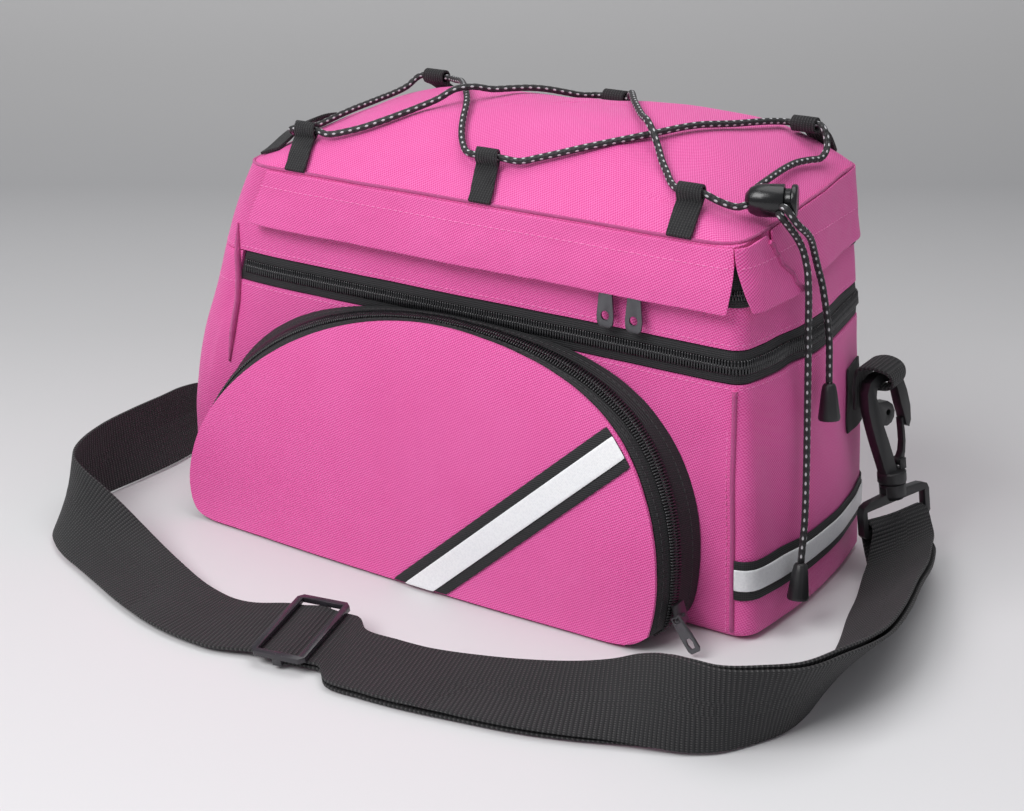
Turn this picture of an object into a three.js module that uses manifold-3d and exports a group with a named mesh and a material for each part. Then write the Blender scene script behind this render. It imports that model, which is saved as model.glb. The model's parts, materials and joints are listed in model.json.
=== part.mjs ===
// Bicycle rack bag: soft body with a zipped lid, half-moon front pocket, lacing cord on the lid
// and a shoulder strap on swivel hooks. Millimetres, +Z up, +X along the bag, +Y away from the pocket.
import * as THREE from "three";
import { mergeVertices } from "three/addons/utils/BufferGeometryUtils.js";
import Module from "manifold-3d";
const wasm = await Module();
wasm.setup();

// ---------------------------------------------------------------- sizes
const CLOTH = 2.4; // wall of the bag
const PAD = 5; // padded top panel
const GAP = 0.35; // free space kept between neighbours
const ZIP_LOW = 134; // lower edge of the visible zip
const ZIP_HIGH = 151; // lower edge of the lid
const SEAM_Z = 207; // lid seam at mid depth
const SEAM_TILT = 0.095; // lid seam rises toward the back
const DOME = 32.5; // height of the padded top over its seam
const DOME_CENTRE = [20, 0];
const CORD_R = 1.75; // lacing cord
const WEB = 42; // shoulder strap width
const WEB_T = 1.9; // shoulder strap thickness
const FRONT_Y = -69.5;
const POCKET_DEPTH = 37; // at the floor
const POCKET_SLOPE = 0.165; // loses depth with height

// Outline of the bag by height: sharp-corner box, corner radii and outward bulge of the two ends.
const FORM = [
  // z, left, right, front, back, leftR, rightR, leftBulge, rightBulge
  [0, -185, 184, -66.5, 67.5, 18, 11, 2, 4],
  [4, -188, 188, -69.5, 70.5, 20, 11, 3, 5],
  [30, -189, 187, -69.5, 71, 21, 11, 4, 7],
  [53, -188, 186, -69.5, 71, 22, 11, 5, 8],
  [97, -179, 181, -69.5, 71, 25, 10, 5, 8],
  [127, -167, 178, -69.5, 71, 27, 10, 4, 7],
  [142, -162, 177, -69.5, 71, 28, 10, 4, 6],
  [158, -157, 175.5, -69.5, 71, 27, 10, 3, 5],
  [180, -146, 173, -69.5, 70.5, 24, 10, 3, 3.5],
  [201, -131, 171, -69.5, 70.5, 18, 10, 2, 2],
  [216, -126, 170, -69.5, 70.5, 17, 10, 1, 1],
];
// Soft dents pressed into the walls.
const DENTS = [
  // x, y, z, radius, depth
  [176, 40, 166, 24, 3.2],
  [172, -10, 186, 20, 1.8],
  [-60, -69.5, 160, 22, 1.6],
  [60, -69.5, 161, 20, 1.2],
  [-175, 0, 120, 34, 4.0],
  [-186, 30, 60, 38, 3.0],
  [183, 15, 92, 30, 2.2],
  [20, 71, 90, 60, 2.5],
];
const CREASE_DEPTH = 2.6; // fold that runs down the corners where the visible zip ends
const SEG = { front: 12, corner: 4, right: 6, back: 8, left: 6 };
// Columns where the straight sides begin and end.
const COL = { frontEnd: 12, rightStart: 16, rightEnd: 22, backStart: 26, backEnd: 34, leftStart: 38 };

// ---------------------------------------------------------------- small helpers
const V = (x, y, z) => new THREE.Vector3(x, y, z);
const mix = (a, b, t) => a + (b - a) * t;

// Closed body from points and triangles; turned so that its faces look out.
function body(points, tris) {
  let vol = 0;
  for (const [a, b, c] of tris)
    vol += points[a].dot(new THREE.Vector3().crossVectors(points[b], points[c]));
  const pos = new Float32Array(points.length * 3);
  points.forEach((p, i) => p.toArray(pos, i * 3));
  const g = new THREE.BufferGeometry();
  g.setAttribute("position", new THREE.BufferAttribute(pos, 3));
  g.setIndex(tris.flatMap(([a, b, c]) => (vol < 0 ? [a, c, b] : [a, b, c])));
  return g;
}

// Thick sheet between two equal grids [row][col]; wrap joins the last column to the first;
// poles close the first or last row, whose points all coincide, into one point.
function sheet(outer, inner, { wrap = false, poleStart = false, poleEnd = false } = {}) {
  const rows = outer.length, cols = outer[0].length, pts = [], tris = [];
  const put = (grid) =>
    grid.map((row, r) => {
      const pole = (r === 0 && poleStart) || (r === rows - 1 && poleEnd);
      if (pole) { pts.push(row[0]); return row.map(() => pts.length - 1); }
      return row.map((p) => { pts.push(p); return pts.length - 1; });
    });
  const o = put(outer), n = put(inner);
  const quad = (a, b, c, d) => {
    for (const t of [[a, b, c], [a, c, d]])
      if (t[0] !== t[1] && t[1] !== t[2] && t[0] !== t[2]) tris.push(t);
  };
  const last = wrap ? cols : cols - 1;
  for (let r = 0; r < rows - 1; r++)
    for (let c = 0; c < last; c++) {
      const d = (c + 1) % cols;
      quad(o[r][c], o[r][d], o[r + 1][d], o[r + 1][c]);
      quad(n[r][c], n[r + 1][c], n[r + 1][d], n[r][d]);
    }
  for (let c = 0; c < last; c++) {
    const d = (c + 1) % cols;
    if (!poleStart) quad(o[0][c], n[0][c], n[0][d], o[0][d]);
    if (!poleEnd) quad(o[rows - 1][c], o[rows - 1][d], n[rows - 1][d], n[rows - 1][c]);
  }
  if (!wrap)
    for (let r = 0; r < rows - 1; r++) {
      quad(o[r][0], o[r + 1][0], n[r + 1][0], n[r][0]);
      quad(o[r][cols - 1], n[r][cols - 1], n[r + 1][cols - 1], o[r + 1][cols - 1]);
    }
  return body(pts, tris);
}

// Solid swept from equal rings of points; both ends closed by a fan, or joined when ring is true.
// For flat webbing, lean gives the way that both broad faces are split, so that a twist keeps its thickness.
function sweep(rings, ring = false, lean = null) {
  const n = rings[0].length, pts = rings.flat(), tris = [], m = rings.length;
  for (let r = 0; r < (ring ? m : m - 1); r++)
    for (let i = 0; i < n; i++) {
      const j = (i + 1) % n, a = r * n, b = ((r + 1) % m) * n;
      if (lean && (lean(r) > 0 ? i === 2 : i === 0)) tris.push([a + i, a + j, b + i], [a + j, b + j, b + i]);
      else tris.push([a + i, a + j, b + j], [a + i, b + j, b + i]);
    }
  if (!ring)
    for (let i = 1; i < n - 1; i++) {
      tris.push([0, i + 1, i]);
      const b = (m - 1) * n;
      tris.push([b, b + i, b + i + 1]);
    }
  return body(pts, tris);
}

// Round cord along points, with frames carried along so that it does not twist.
function cord(points, radius, sides = 7) {
  const rings = [];
  let side = null;
  points.forEach((p, i) => {
    const a = points[Math.max(0, i - 1)], b = points[Math.min(points.length - 1, i + 1)];
    const t = b.clone().sub(a).normalize();
    if (!side) side = Math.abs(t.z) < 0.9 ? V(0, 0, 1) : V(1, 0, 0);
    side = side.clone().addScaledVector(t, -side.dot(t)).normalize();
    const up = t.clone().cross(side);
    rings.push(
      Array.from({ length: sides }, (_, k) => {
        const w = (2 * Math.PI * k) / sides;
        return p.clone().addScaledVector(side, radius * Math.cos(w)).addScaledVector(up, radius * Math.sin(w));
      }),
    );
  });
  return sweep(rings);
}

// Smooth curve through control points, resampled about every step millimetres.
function smooth(points, step) {
  const c = new THREE.CatmullRomCurve3(points, false, "centripetal");
  return c.getSpacedPoints(Math.max(2, Math.round(c.getLength() / step)));
}

// Flat outline [[u, v]...] with holes, given a thickness, placed at origin with axes u, v and w = u x v.
function plate(outline, holes, thickness, origin, u, v) {
  const shape = new THREE.Shape(outline.map(([a, b]) => new THREE.Vector2(a, b)));
  for (const h of holes) shape.holes.push(new THREE.Path(h.map(([a, b]) => new THREE.Vector2(a, b))));
  const g = new THREE.ExtrudeGeometry(shape, { depth: thickness, bevelEnabled: false, steps: 1 });
  const w = u.clone().cross(v);
  g.translate(0, 0, -thickness / 2);
  g.applyMatrix4(new THREE.Matrix4().makeBasis(u, v, w).setPosition(origin));
  return g;
}
const circle = (cx, cy, r, n, from = 0) =>
  Array.from({ length: n }, (_, i) => {
    const a = from + (2 * Math.PI * i) / n;
    return [cx + r * Math.cos(a), cy + r * Math.sin(a)];
  });

// Join and cut of closed pieces.
function solid(g) {
  const plain = new THREE.BufferGeometry();
  plain.setAttribute("position", (g.index ? g.toNonIndexed() : g).getAttribute("position"));
  const m = mergeVertices(plain, 1e-4);
  return new wasm.Manifold(new wasm.Mesh({ numProp: 3, vertProperties: m.attributes.position.array, triVerts: new Uint32Array(m.index.array) }));
}
function surface(s) {
  const m = s.getMesh(), g = new THREE.BufferGeometry(), v = new Float32Array(m.numVert * 3);
  for (let i = 0; i < m.numVert; i++) v.set(m.vertProperties.subarray(i * m.numProp, i * m.numProp + 3), i * 3);
  g.setAttribute("position", new THREE.BufferAttribute(v, 3));
  g.setIndex(new THREE.BufferAttribute(new Uint32Array(m.triVerts), 1));
  return g;
}
const join = (...gs) => surface(gs.map(solid).reduce((a, b) => a.add(b)));
const cut = (g, ...gs) => surface(gs.map(solid).reduce((a, b) => a.subtract(b), solid(g)));
// Block of size along u, v and u x v about a centre.
const block = (size, centre, u, v) =>
  new THREE.BoxGeometry(...size).applyMatrix4(new THREE.Matrix4().makeBasis(u, v, u.clone().cross(v)).setPosition(centre));

// Turned piece: profile [[radius, height]...] about the axis from origin.
function turned(profile, origin, axis, sides = 20) {
  const g = new THREE.LatheGeometry(profile.map(([r, h]) => new THREE.Vector2(r, h)), sides);
  g.applyQuaternion(new THREE.Quaternion().setFromUnitVectors(V(0, 1, 0), axis.clone().normalize()));
  g.translate(origin.x, origin.y, origin.z);
  return g;
}

// ---------------------------------------------------------------- the bag's outline
function formAt(z) {
  const q = Math.min(Math.max(z, FORM[0][0]), FORM[FORM.length - 1][0]);
  let k = 0;
  while (k < FORM.length - 2 && FORM[k + 1][0] < q) k++;
  const t = (q - FORM[k][0]) / (FORM[k + 1][0] - FORM[k][0]);
  return FORM[k].map((v, i) => mix(v, FORM[k + 1][i], t));
}

// Closed ring of columns round the bag at height z, moved out by off.
function outline(z, off = 0) {
  const [, L, R, F, B, rl, rr, bl, br] = formAt(z), ring = [];
  const arc = (cx, cy, r, from) => {
    for (let j = 1; j < SEG.corner; j++) {
      const a = from + (Math.PI / 2) * (j / SEG.corner);
      ring.push([cx + r * Math.cos(a), cy + r * Math.sin(a)]);
    }
  };
  for (let i = 0; i <= SEG.front; i++) ring.push([mix(L + rl, R - rr, i / SEG.front), F]);
  arc(R - rr, F + rr, rr, -Math.PI / 2);
  for (let i = 0; i <= SEG.right; i++) {
    const t = (2 * i) / SEG.right - 1;
    ring.push([R + br * (1 - t * t), mix(F + rr, B - rr, i / SEG.right)]);
  }
  arc(R - rr, B - rr, rr, 0);
  for (let i = 0; i <= SEG.back; i++) ring.push([mix(R - rr, L + rl, i / SEG.back), B]);
  arc(L + rl, B - rl, rl, Math.PI / 2);
  for (let i = 0; i <= SEG.left; i++) {
    const t = (2 * i) / SEG.left - 1;
    ring.push([L - bl * (1 - t * t), mix(B - rl, F + rl, i / SEG.left)]);
  }
  arc(L + rl, F + rl, rl, Math.PI);
  const n = ring.length;
  return ring.map(([x, y], i) => {
    const a = ring[(i + n - 1) % n], b = ring[(i + 1) % n];
    const tx = b[0] - a[0], ty = b[1] - a[1], l = Math.hypot(tx, ty);
    let d = off;
    for (const [dx, dy, dz, rad, deep] of DENTS)
      d -= deep * Math.exp(-((x - dx) ** 2 + (y - dy) ** 2 + (z - dz) ** 2) / (rad * rad));
    if (i === 0 || i === COL.backEnd)
      d -= CREASE_DEPTH * Math.min(1, Math.max(0, (z - 100) / 20)) * Math.min(1, Math.max(0, (205 - z) / 15));
    return [x + (ty / l) * d, y - (tx / l) * d];
  });
}

// Point on the wall at fractional column u and height z, moved out by off.
function wall(u, z, off = 0) {
  const ring = outline(z, off), n = ring.length, k = Math.floor(u), t = u - k;
  const a = ring[((k % n) + n) % n], b = ring[(((k + 1) % n) + n) % n];
  return V(mix(a[0], b[0], t), mix(a[1], b[1], t), z);
}
const seamZ = (y) => SEAM_Z + SEAM_TILT * y;
const SEAM_RING = outline(205).map(([x, y]) => [x, y]);

// Steepness of the padded top by direction from its centre, every 45 degrees from +X.
const ROUNDING = [4.2, 3.6, 2.0, 2.1, 2.3, 2.0, 1.9, 2.0];
function rounding(x, y) {
  const a = (Math.atan2(y / 70, x / 151) * 180) / Math.PI;
  const k = ((a + 360) % 360) / 45, i = Math.floor(k) % 8, f = (1 - Math.cos(Math.PI * (k - Math.floor(k)))) / 2;
  return mix(ROUNDING[i], ROUNDING[(i + 1) % 8], f);
}
// Share of the way from the centre of the top to its seam.
function reach(x, y) {
  const dx = x - DOME_CENTRE[0], dy = y - DOME_CENTRE[1];
  let best = 1e9;
  SEAM_RING.forEach((p, i) => {
    const q = SEAM_RING[(i + 1) % SEAM_RING.length];
    const px = p[0] - DOME_CENTRE[0], py = p[1] - DOME_CENTRE[1], ex = q[0] - p[0], ey = q[1] - p[1];
    const den = dx * ey - dy * ex;
    if (Math.abs(den) < 1e-9) return;
    const t = (px * ey - py * ex) / den, s = (px * dy - py * dx) / den;
    if (t > 0 && s >= -1e-6 && s <= 1 + 1e-6) best = Math.min(best, t);
  });
  return Math.min(1, 1 / best);
}
const top = (x, y) => {
  const s = Math.hypot(x - DOME_CENTRE[0], y - DOME_CENTRE[1]) < 1e-6 ? 0 : reach(x, y);
  return seamZ(y) + DOME * (1 - s ** rounding(x - DOME_CENTRE[0], y - DOME_CENTRE[1]));
};
// Point over the padded top, lifted along the surface's normal.
function over(x, y, lift) {
  const e = 1.5, z = top(x, y);
  const n = V(-(top(x + e, y) - top(x - e, y)) / (2 * e), -(top(x, y + e) - top(x, y - e)) / (2 * e), 1).normalize();
  return V(x, y, z).addScaledVector(n, lift);
}

// ---------------------------------------------------------------- body and lid
function bodyShell() {
  const N = outline(50).length;
  // columns, with one more just past each end of the zip so that the cloth rises steeply there
  const U = [...Array(COL.backEnd + 1).keys(), COL.backEnd + 0.14];
  for (let c = COL.backEnd + 1; c < N; c++) U.push(c);
  U.push(N - 0.14);
  const tongue = (c) => c > COL.backEnd; // the left end is one cloth up to the lid and acts as its hinge
  const levels = [4, 18, 36, 56, 74, 90, 106, 120, ZIP_LOW - GAP];
  const rowZ = (c, z) => (z <= 90 || !tongue(c) ? z : mix(90, ZIP_HIGH - GAP, (z - 90) / (ZIP_LOW - GAP - 90)));
  const at = (z, off) => U.map((c) => wall(c, rowZ(c, z), off));
  const flat = (z, off, s) => U.map((c) => { const p = wall(c, Math.max(z, 0), off); return V(p.x * s, p.y * s, z); });
  const centre = (z) => U.map(() => V(0, 0, z));
  const outer = [centre(0), flat(0, -1.5, 0.55), flat(0, -1.5, 1), flat(1.3, -0.2, 1), ...levels.map((z) => at(z, 0))];
  const inner = [centre(3), flat(3, -CLOTH - 1.5, 0.55), flat(3, -CLOTH - 1.5, 1), flat(4.2, -CLOTH, 1), ...levels.map((z) => at(Math.max(z, 7), -CLOTH))];
  return sheet(outer, inner, { wrap: true, poleStart: true });
}

function lidShell() {
  const N = SEAM_RING.length;
  const side = [0, 0.3, 0.6, 0.9, 1];
  const domeRings = [0.975, 0.93, 0.86, 0.77, 0.66, 0.5, 0.3];
  const sideRow = (t, off, drop) =>
    Array.from({ length: N }, (_, c) => wall(c, mix(ZIP_HIGH, seamZ(SEAM_RING[c][1]) - drop, t), off));
  const domeRow = (s, ring, drop) =>
    ring.map(([x, y], c) => {
      const [X, Y] = [mix(DOME_CENTRE[0], x, s), mix(DOME_CENTRE[1], y, s)];
      const p = rounding(SEAM_RING[c][0] - DOME_CENTRE[0], SEAM_RING[c][1] - DOME_CENTRE[1]);
      return V(X, Y, seamZ(Y) + DOME * (1 - s ** p) - drop);
    });
  const tip = (drop) => Array.from({ length: N }, () => V(...DOME_CENTRE, SEAM_Z + DOME - drop));
  const insideRing = outline(200, -CLOTH);
  const outer = [...side.map((t) => sideRow(t, 0, 0)), ...domeRings.map((s) => domeRow(s, SEAM_RING, 0)), tip(0)];
  const inner = [...side.map((t) => sideRow(t, -CLOTH, PAD)), ...domeRings.map((s) => domeRow(s, insideRing, PAD)), tip(PAD)];
  return sheet(outer, inner, { wrap: true, poleEnd: true });
}

// Band that follows the wall from column a to b. rows: [z or z(u), inner offset, outer offset].
function band(a, b, step, rows) {
  const us = [];
  const A = typeof a === "function" ? a : () => a, B = typeof b === "function" ? b : () => b;
  const n = Math.max(2, Math.round((B(0) - A(0)) / step));
  for (let i = 0; i <= n; i++) us.push(i / n);
  const grid = (k) =>
    rows.map((row, r) =>
      us.map((t) => {
        const u = mix(A(r / (rows.length - 1)), B(r / (rows.length - 1)), t);
        const z = typeof row[0] === "function" ? row[0](u) : row[0];
        return wall(u, z, row[k]);
      }),
    );
  return sheet(grid(2), grid(1));
}

const seamAt = (u) => {
  const p = wall(u, 203, 0);
  return seamZ(p.y);
};

// ---------------------------------------------------------------- half-moon pocket on the front
// Edge of the pocket's face and of its foot on the bag, from the left end of the floor edge round the top.
const POCKET = [
  // faceX, faceZ, footX, footZ
  [-139, 1.5, -145, 1.5],
  [-147, 7, -153, 7],
  [-152, 22, -158, 22],
  [-149.5, 42, -157, 44],
  [-141.5, 60, -151, 64],
  [-128, 78, -139, 84],
  [-110, 95, -122, 102],
  [-89, 110, -101, 117],
  [-66, 122, -76, 128],
  [-40, 131.5, -46, 135.5],
  [-14, 137, -16, 139.2],
  [12, 139, 13, 140.5],
  [38, 137.2, 42, 139.6],
  [64, 133, 72, 137.5],
  [86, 126.5, 98, 131.5],
  [104, 118, 119, 121.5],
  [118.5, 107.5, 134, 109],
  [130.5, 94, 146, 93],
  [140, 77, 153.5, 76],
  [146.5, 60, 157.5, 58],
  [150, 42, 158.5, 40],
  [151.5, 26, 157.5, 24],
  [149.5, 10, 154.5, 9.5],
  [139, 1.5, 144, 1.5],
];
const POCKET_BULGE = 4; // the face swells a little past its edge
const pocketY = (z) => FRONT_Y - (POCKET_DEPTH - POCKET_SLOPE * z);
// Front of the pocket's face at x, z.
function pocketFace(x, z) {
  const u = x / 152, w = (z - 60) / 80, s = Math.min(1, Math.sqrt(u * u + w * w * 0.9));
  return pocketY(z) - POCKET_BULGE * (1 - s ** 3);
}
// Point between the foot (t = 0) and the face's edge (t = 1) at station i of the table, moved out by off.
function gusset(i, t, off) {
  const n = POCKET.length, row = POCKET[i], a = POCKET[Math.max(0, i - 1)], b = POCKET[Math.min(n - 1, i + 1)];
  const lerp = (r) => [mix(r[2], r[0], t), mix(r[3], r[1], t)];
  const [x, z] = lerp(row), [ax, az] = lerp(a), [bx, bz] = lerp(b);
  const tx = bx - ax, tz = bz - az, l = Math.hypot(tx, tz);
  const y = mix(FRONT_Y - GAP, pocketY(row[1]), t);
  return V(x - (tz / l) * off, y, Math.max(z + (tx / l) * off, 0.6));
}

function pocketGusset() {
  // share of the way out, inner offset, outer offset
  const rows = [[0, -1.8, 0], [0.45, -2.2, -0.4], [0.6, -1.8, 0.4], [0.965, -1.8, 0]];
  const grid = (k) => rows.map(([t, ...off]) => POCKET.map((_, i) => gusset(i, t, off[k])));
  return sheet(grid(1), grid(0));
}
function pocketBottom() {
  // floor panel of the pocket, between the gusset's two ends
  const n = 14, L = POCKET[0], R = POCKET[POCKET.length - 1];
  const rows = [0, 0.5, 0.95];
  const grid = (z) => rows.map((t) =>
    Array.from({ length: n + 1 }, (_, i) => V(mix(mix(L[2], L[0], t) + 3.2, mix(R[2], R[0], t) - 3.2, i / n), mix(FRONT_Y - GAP, pocketY(0), t), z)));
  return sheet(grid(2.2), grid(0.5));
}
function pocketPanel() {
  // face of the pocket as rings shrinking to its middle
  const mid = [0, 60], n = POCKET.length, bottom = 12;
  const edge = POCKET.map((r) => [r[0], r[1]]);
  for (let i = 1; i < bottom; i++) edge.push([mix(POCKET[n - 1][0], POCKET[0][0], i / bottom), 1.5]);
  const rings = [1, 0.94, 0.8, 0.56, 0.28];
  const row = (s, back) => edge.map(([x, z]) => {
    const X = mix(mid[0], x, s), Z = mix(mid[1], z, s);
    return V(X, pocketFace(X, Z) + back, Z);
  });
  const tip = (back) => edge.map(() => V(mid[0], pocketFace(...mid) + back, mid[1]));
  return sheet([...rings.map((s) => row(s, -1.2)), tip(-1.2)], [...rings.map((s) => row(s, 0.8)), tip(0.8)], { wrap: true, poleEnd: true });
}
// Where a slanting line across the face meets the edge, going from p in direction d.
function faceEdge(p, d) {
  let best = 1e9;
  const n = POCKET.length;
  for (let i = 0; i < n; i++) {
    const a = POCKET[i], b = POCKET[(i + 1) % n], ex = b[0] - a[0], ez = b[1] - a[1];
    const den = d[0] * ez - d[1] * ex;
    if (Math.abs(den) < 1e-9) continue;
    const t = ((a[0] - p[0]) * ez - (a[1] - p[1]) * ex) / den, s = ((a[0] - p[0]) * d[1] - (a[1] - p[1]) * d[0]) / den;
    if (t > 0.5 && s >= 0 && s <= 1) best = Math.min(best, t);
  }
  return best;
}
// Slanting band on the pocket's face between two distances across it.
const SLANT = { from: [36, 60], dir: [1.1, 1] };
function slantBand(low, high, lift, thick) {
  const l = Math.hypot(...SLANT.dir), d = SLANT.dir.map((v) => v / l), nrm = [-d[1], d[0]];
  const cols = 14, rows = 3;
  const grid = (back) =>
    Array.from({ length: rows }, (_, r) => {
      const q = mix(low, high, r / (rows - 1));
      const p = [SLANT.from[0] + nrm[0] * q + 40 * d[0], SLANT.from[1] + nrm[1] * q - 0 + 40 * d[1]];
      const up = faceEdge(p, d) - 1.2, down = faceEdge(p, [-d[0], -d[1]]) - 1.2;
      return Array.from({ length: cols + 1 }, (_, i) => {
        const t = mix(-down, up, i / cols), x = p[0] + d[0] * t, z = p[1] + d[1] * t;
        return V(x, pocketFace(x, z) - 1.2 - back, z);
      });
    });
  return sheet(grid(lift + thick), grid(lift));
}

// ---------------------------------------------------------------- loops for the lacing cord
// Each loop is sewn in the lid's seam and ends in an eye.
const LOOPS = [
  // name, seamX, eyeX, eyeY, side (-1 front, +1 back)
  ["cord_loop_front_left", -91, -98, -50, -1],
  ["cord_loop_front_mid", 27.6, 20, -50, -1],
  ["cord_loop_front_right", 139.7, 137, -53, -1],
  ["cord_loop_back_left", -80, -83, 48, 1],
  ["cord_loop_back_mid", 36, 35, 48, 1],
  ["cord_loop_back_right", 150, 148, 48, 1],
];
const LOOP_W = 13.4, EYE_LIFT = 5.2, EYE_R = 4.3, EYE_BORE = 2.95;
// Height that clears the top over the whole width of a loop.
const bed = (x, y) => Math.max(top(x - LOOP_W / 2, y), top(x, y), top(x + LOOP_W / 2, y));
function slope(x, y) {
  const e = 1.5;
  return (top(x, y + e) - top(x, y - e)) / (2 * e);
}
function eyeCentre([, , x, y]) {
  const m = slope(x, y), l = Math.hypot(1, m);
  return V(x, y - (m / l) * EYE_LIFT, bed(x, y) + EYE_LIFT / l);
}
function cordLoop(spec) {
  const [, seamX, eyeX, eyeY, side] = spec, startY = side * 69.2, n = 6;
  const low = [], high = [];
  let E = null, base = 0;
  for (let i = 0; i <= n; i++) {
    const y = mix(startY, eyeY, i / n), x = mix(seamX, eyeX, i / n), m = slope(x, Math.max(-67, Math.min(67, y)));
    const l = Math.hypot(1, m), ny = -m / l, nz = 1 / l, z = bed(x, y);
    low.push([y + ny * 0.8, z + nz * 0.8]);
    if (i < n) high.push([y + ny * 2.9, z + nz * 2.9]);
    if (i === n) { E = [y + ny * EYE_LIFT, z + nz * EYE_LIFT]; base = Math.atan2(-nz, -ny); }
  }
  const turn = -side; // sense in which the eye is traced
  const eye = Array.from({ length: 11 }, (_, k) => base + turn * ((Math.PI * 2 * 0.79 * k) / 10)).map((a) => [E[0] + EYE_R * Math.cos(a), E[1] + EYE_R * Math.sin(a)]);
  const ring = [...low.slice(0, -1), ...eye, ...high.reverse()];
  const hole = circle(E[0], E[1], EYE_BORE, 9);
  const g = plate(ring, [hole], LOOP_W, V(0, 0, 0), V(0, 1, 0), V(0, 0, 1));
  const p = g.getAttribute("position");
  for (let i = 0; i < p.count; i++) {
    const t = Math.min(1, Math.max(0, (p.getY(i) - startY) / (eyeY - startY)));
    p.setX(i, p.getX(i) + mix(seamX, eyeX, t));
  }
  return g;
}

// ---------------------------------------------------------------- lacing cord, its lock and tails
const LOCK = { at: V(171.4, -39.5, 217.2), axis: V(0.945, 0.326, 0.04).normalize() };
const along = (d) => LOCK.at.clone().addScaledVector(LOCK.axis, d);
// Route over the padded top: x, y, extra lift; a name stands for passing through that loop's eye.
const ROUTE = [
  [152, -50, 2.4], "cord_loop_front_right",
  [123.5, -48.2, 0.4], [111.6, -36.2, 0.2], [102, -24, 1.4], [95.4, -18.2, 6.2], [84.6, -7.6, 1.4], [68, 13, 0.2], [56, 31, 0.4], [48.5, 41.5, 1.2], "cord_loop_back_mid",
  [21, 41.5, 1.2], [4, 20, 0.2], [-14, -1, 1.9], [-22, -9, 6.0], [-33, -18, 1.9], [-49, -35, 0.2], [-68, -46.5, 0.2], [-85, -51.5, 1.2], "cord_loop_front_left",
  [-111, -42.5, 1.2], [-110, -30, 0.2], [-104, -5, 0.2], [-100, 20, 0.2], [-96.5, 39, 1.2], "cord_loop_back_left",
  [-70, 45, 1.2], [-60, 39, 0.2], [-45, 22, 0.2], [-27, -1, 0.1], [-15, -18, 0.1], [-6.6, -34, 0.2], [0, -43, 0.6], [6.5, -48.5, 1.2], "cord_loop_front_mid",
  [33.5, -50.5, 1.2], [47, -46, 0.2], [70, -36.5, 0.2], [96, -17.5, 0.1], [110, -1.7, 0.2], [122, 18, 0.2], [131.0, 36.4, 1.2], "cord_loop_back_right",
  [161, 42, 1.6], [160, 32, 1.0], [157, 15, 0.6], [156.2, -8, 1.2],
];
function lacingCord() {
  const pts = [along(-11.2).add(V(-2.2, -6.2, -2.4)), along(-12.6).add(V(-4.2, -4.6, -2.2))];
  for (const step of ROUTE) {
    if (typeof step === "string") {
      const spec = LOOPS.find((l) => l[0] === step), E = eyeCentre(spec);
      const prev = pts[pts.length - 1], dir = Math.sign(E.x - prev.x) || 1; // passes through along X
      for (const k of [-9.4, 0, 9.4]) pts.push(V(E.x + dir * k, E.y, E.z));
    } else pts.push(over(step[0], step[1], CORD_R + 0.75 + step[2]));
  }
  pts.push(along(-8.2).add(V(-5.6, 10.6, 0.6)), along(-7.0).add(V(-3.6, 8.2, 1.4)));
  return pts;
}
// Tails hang down the right end: x, y, z of their centreline; the last point is where the bell end takes it.
const TAIL_LONG = [
  [180.4, -45.6, 211.6], [181.4, -39.6, 206.2], [182.2, -31.5, 199], [183.2, -25.4, 191], [185.2, -24.2, 182.5], [187.4, -25.6, 170], [187.6, -23.8, 151],
  [188.6, -24, 137], [190.6, -26, 115], [193.6, -29.3, 84], [196.8, -34.6, 57], [198.4, -39.6, 36.6],
];
const TAIL_SHORT = [
  [182.9, -46.6, 216.2], [185.4, -44.6, 211.4], [187.0, -38.2, 206], [187.0, -30, 201], [185.8, -21.5, 194.5], [185.2, -14.6, 184.5], [186.6, -8.4, 171], [188.4, -5.0, 156], [190.2, -4.0, 144], [193.4, -7.4, 120.6],
];
const BELL = [[0, 0], [2.6, 0], [3.4, -1.2], [4.0, -4], [5.6, -17], [5.2, -18.6], [0, -18.6]]; // radius, height below the cord's end
const bellAt = (tail, gap) => {
  const a = V(...tail[tail.length - 2]), b = V(...tail[tail.length - 1]), d = b.clone().sub(a).normalize();
  return turned(BELL.map(([r, h]) => [r, -h]), b.clone().addScaledVector(d, gap), d, 14);
};

// ---------------------------------------------------------------- side webbing, swivel hooks, strap
// Hook's own plane: u across, v up. The right hook hangs at its webbing loop; the left one mirrors it.
const HOOK = { z: 54, lean: -0.148, turn: 1.2217, thick: 6 };
const BASE_TURN = 1.2;
// Axes of a hook or its base: u across, up along the shaft, w through the plate.
function hookAxes(side, turn) {
  const up = V(side * HOOK.lean, 0, 1).normalize();
  const u = V(side * Math.cos(turn), Math.sin(turn), 0);
  u.addScaledVector(up, -u.dot(up)).normalize();
  return { u, up, w: u.clone().cross(up) };
}
const HOOK_SHAPE = [
  // across, up: shaft, lug with its hole, crook and nose
  [-7, -0.5], [1.2, -0.5], [-1.2, 10], [-4.2, 20], [-6.6, 27.2], [-4, 26.6], [-0.6, 27.6], [1.6, 30.2], [2.2, 33.5], [1, 37], [-2.4, 39.8], [-9.5, 40.6],
  [-10.6, 44], [-9.6, 48], [-5, 50.4], [1, 50.4], [4.4, 48], [6, 43], [7.4, 36], [9.4, 29], [10.6, 23], [12.6, 21.5], [14.2, 25], [14.4, 33],
  [12.6, 42], [9.8, 50], [5.5, 54.6], [-2, 56], [-9, 55.5], [-14.5, 52.5], [-17, 47], [-17, 38], [-15.5, 30], [-13, 20], [-10, 10],
];
const GATE_FOOT = { u: 5.6, v: 3.4, r: 2.3, bore: 1.0, pin: 0.65 };
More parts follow.
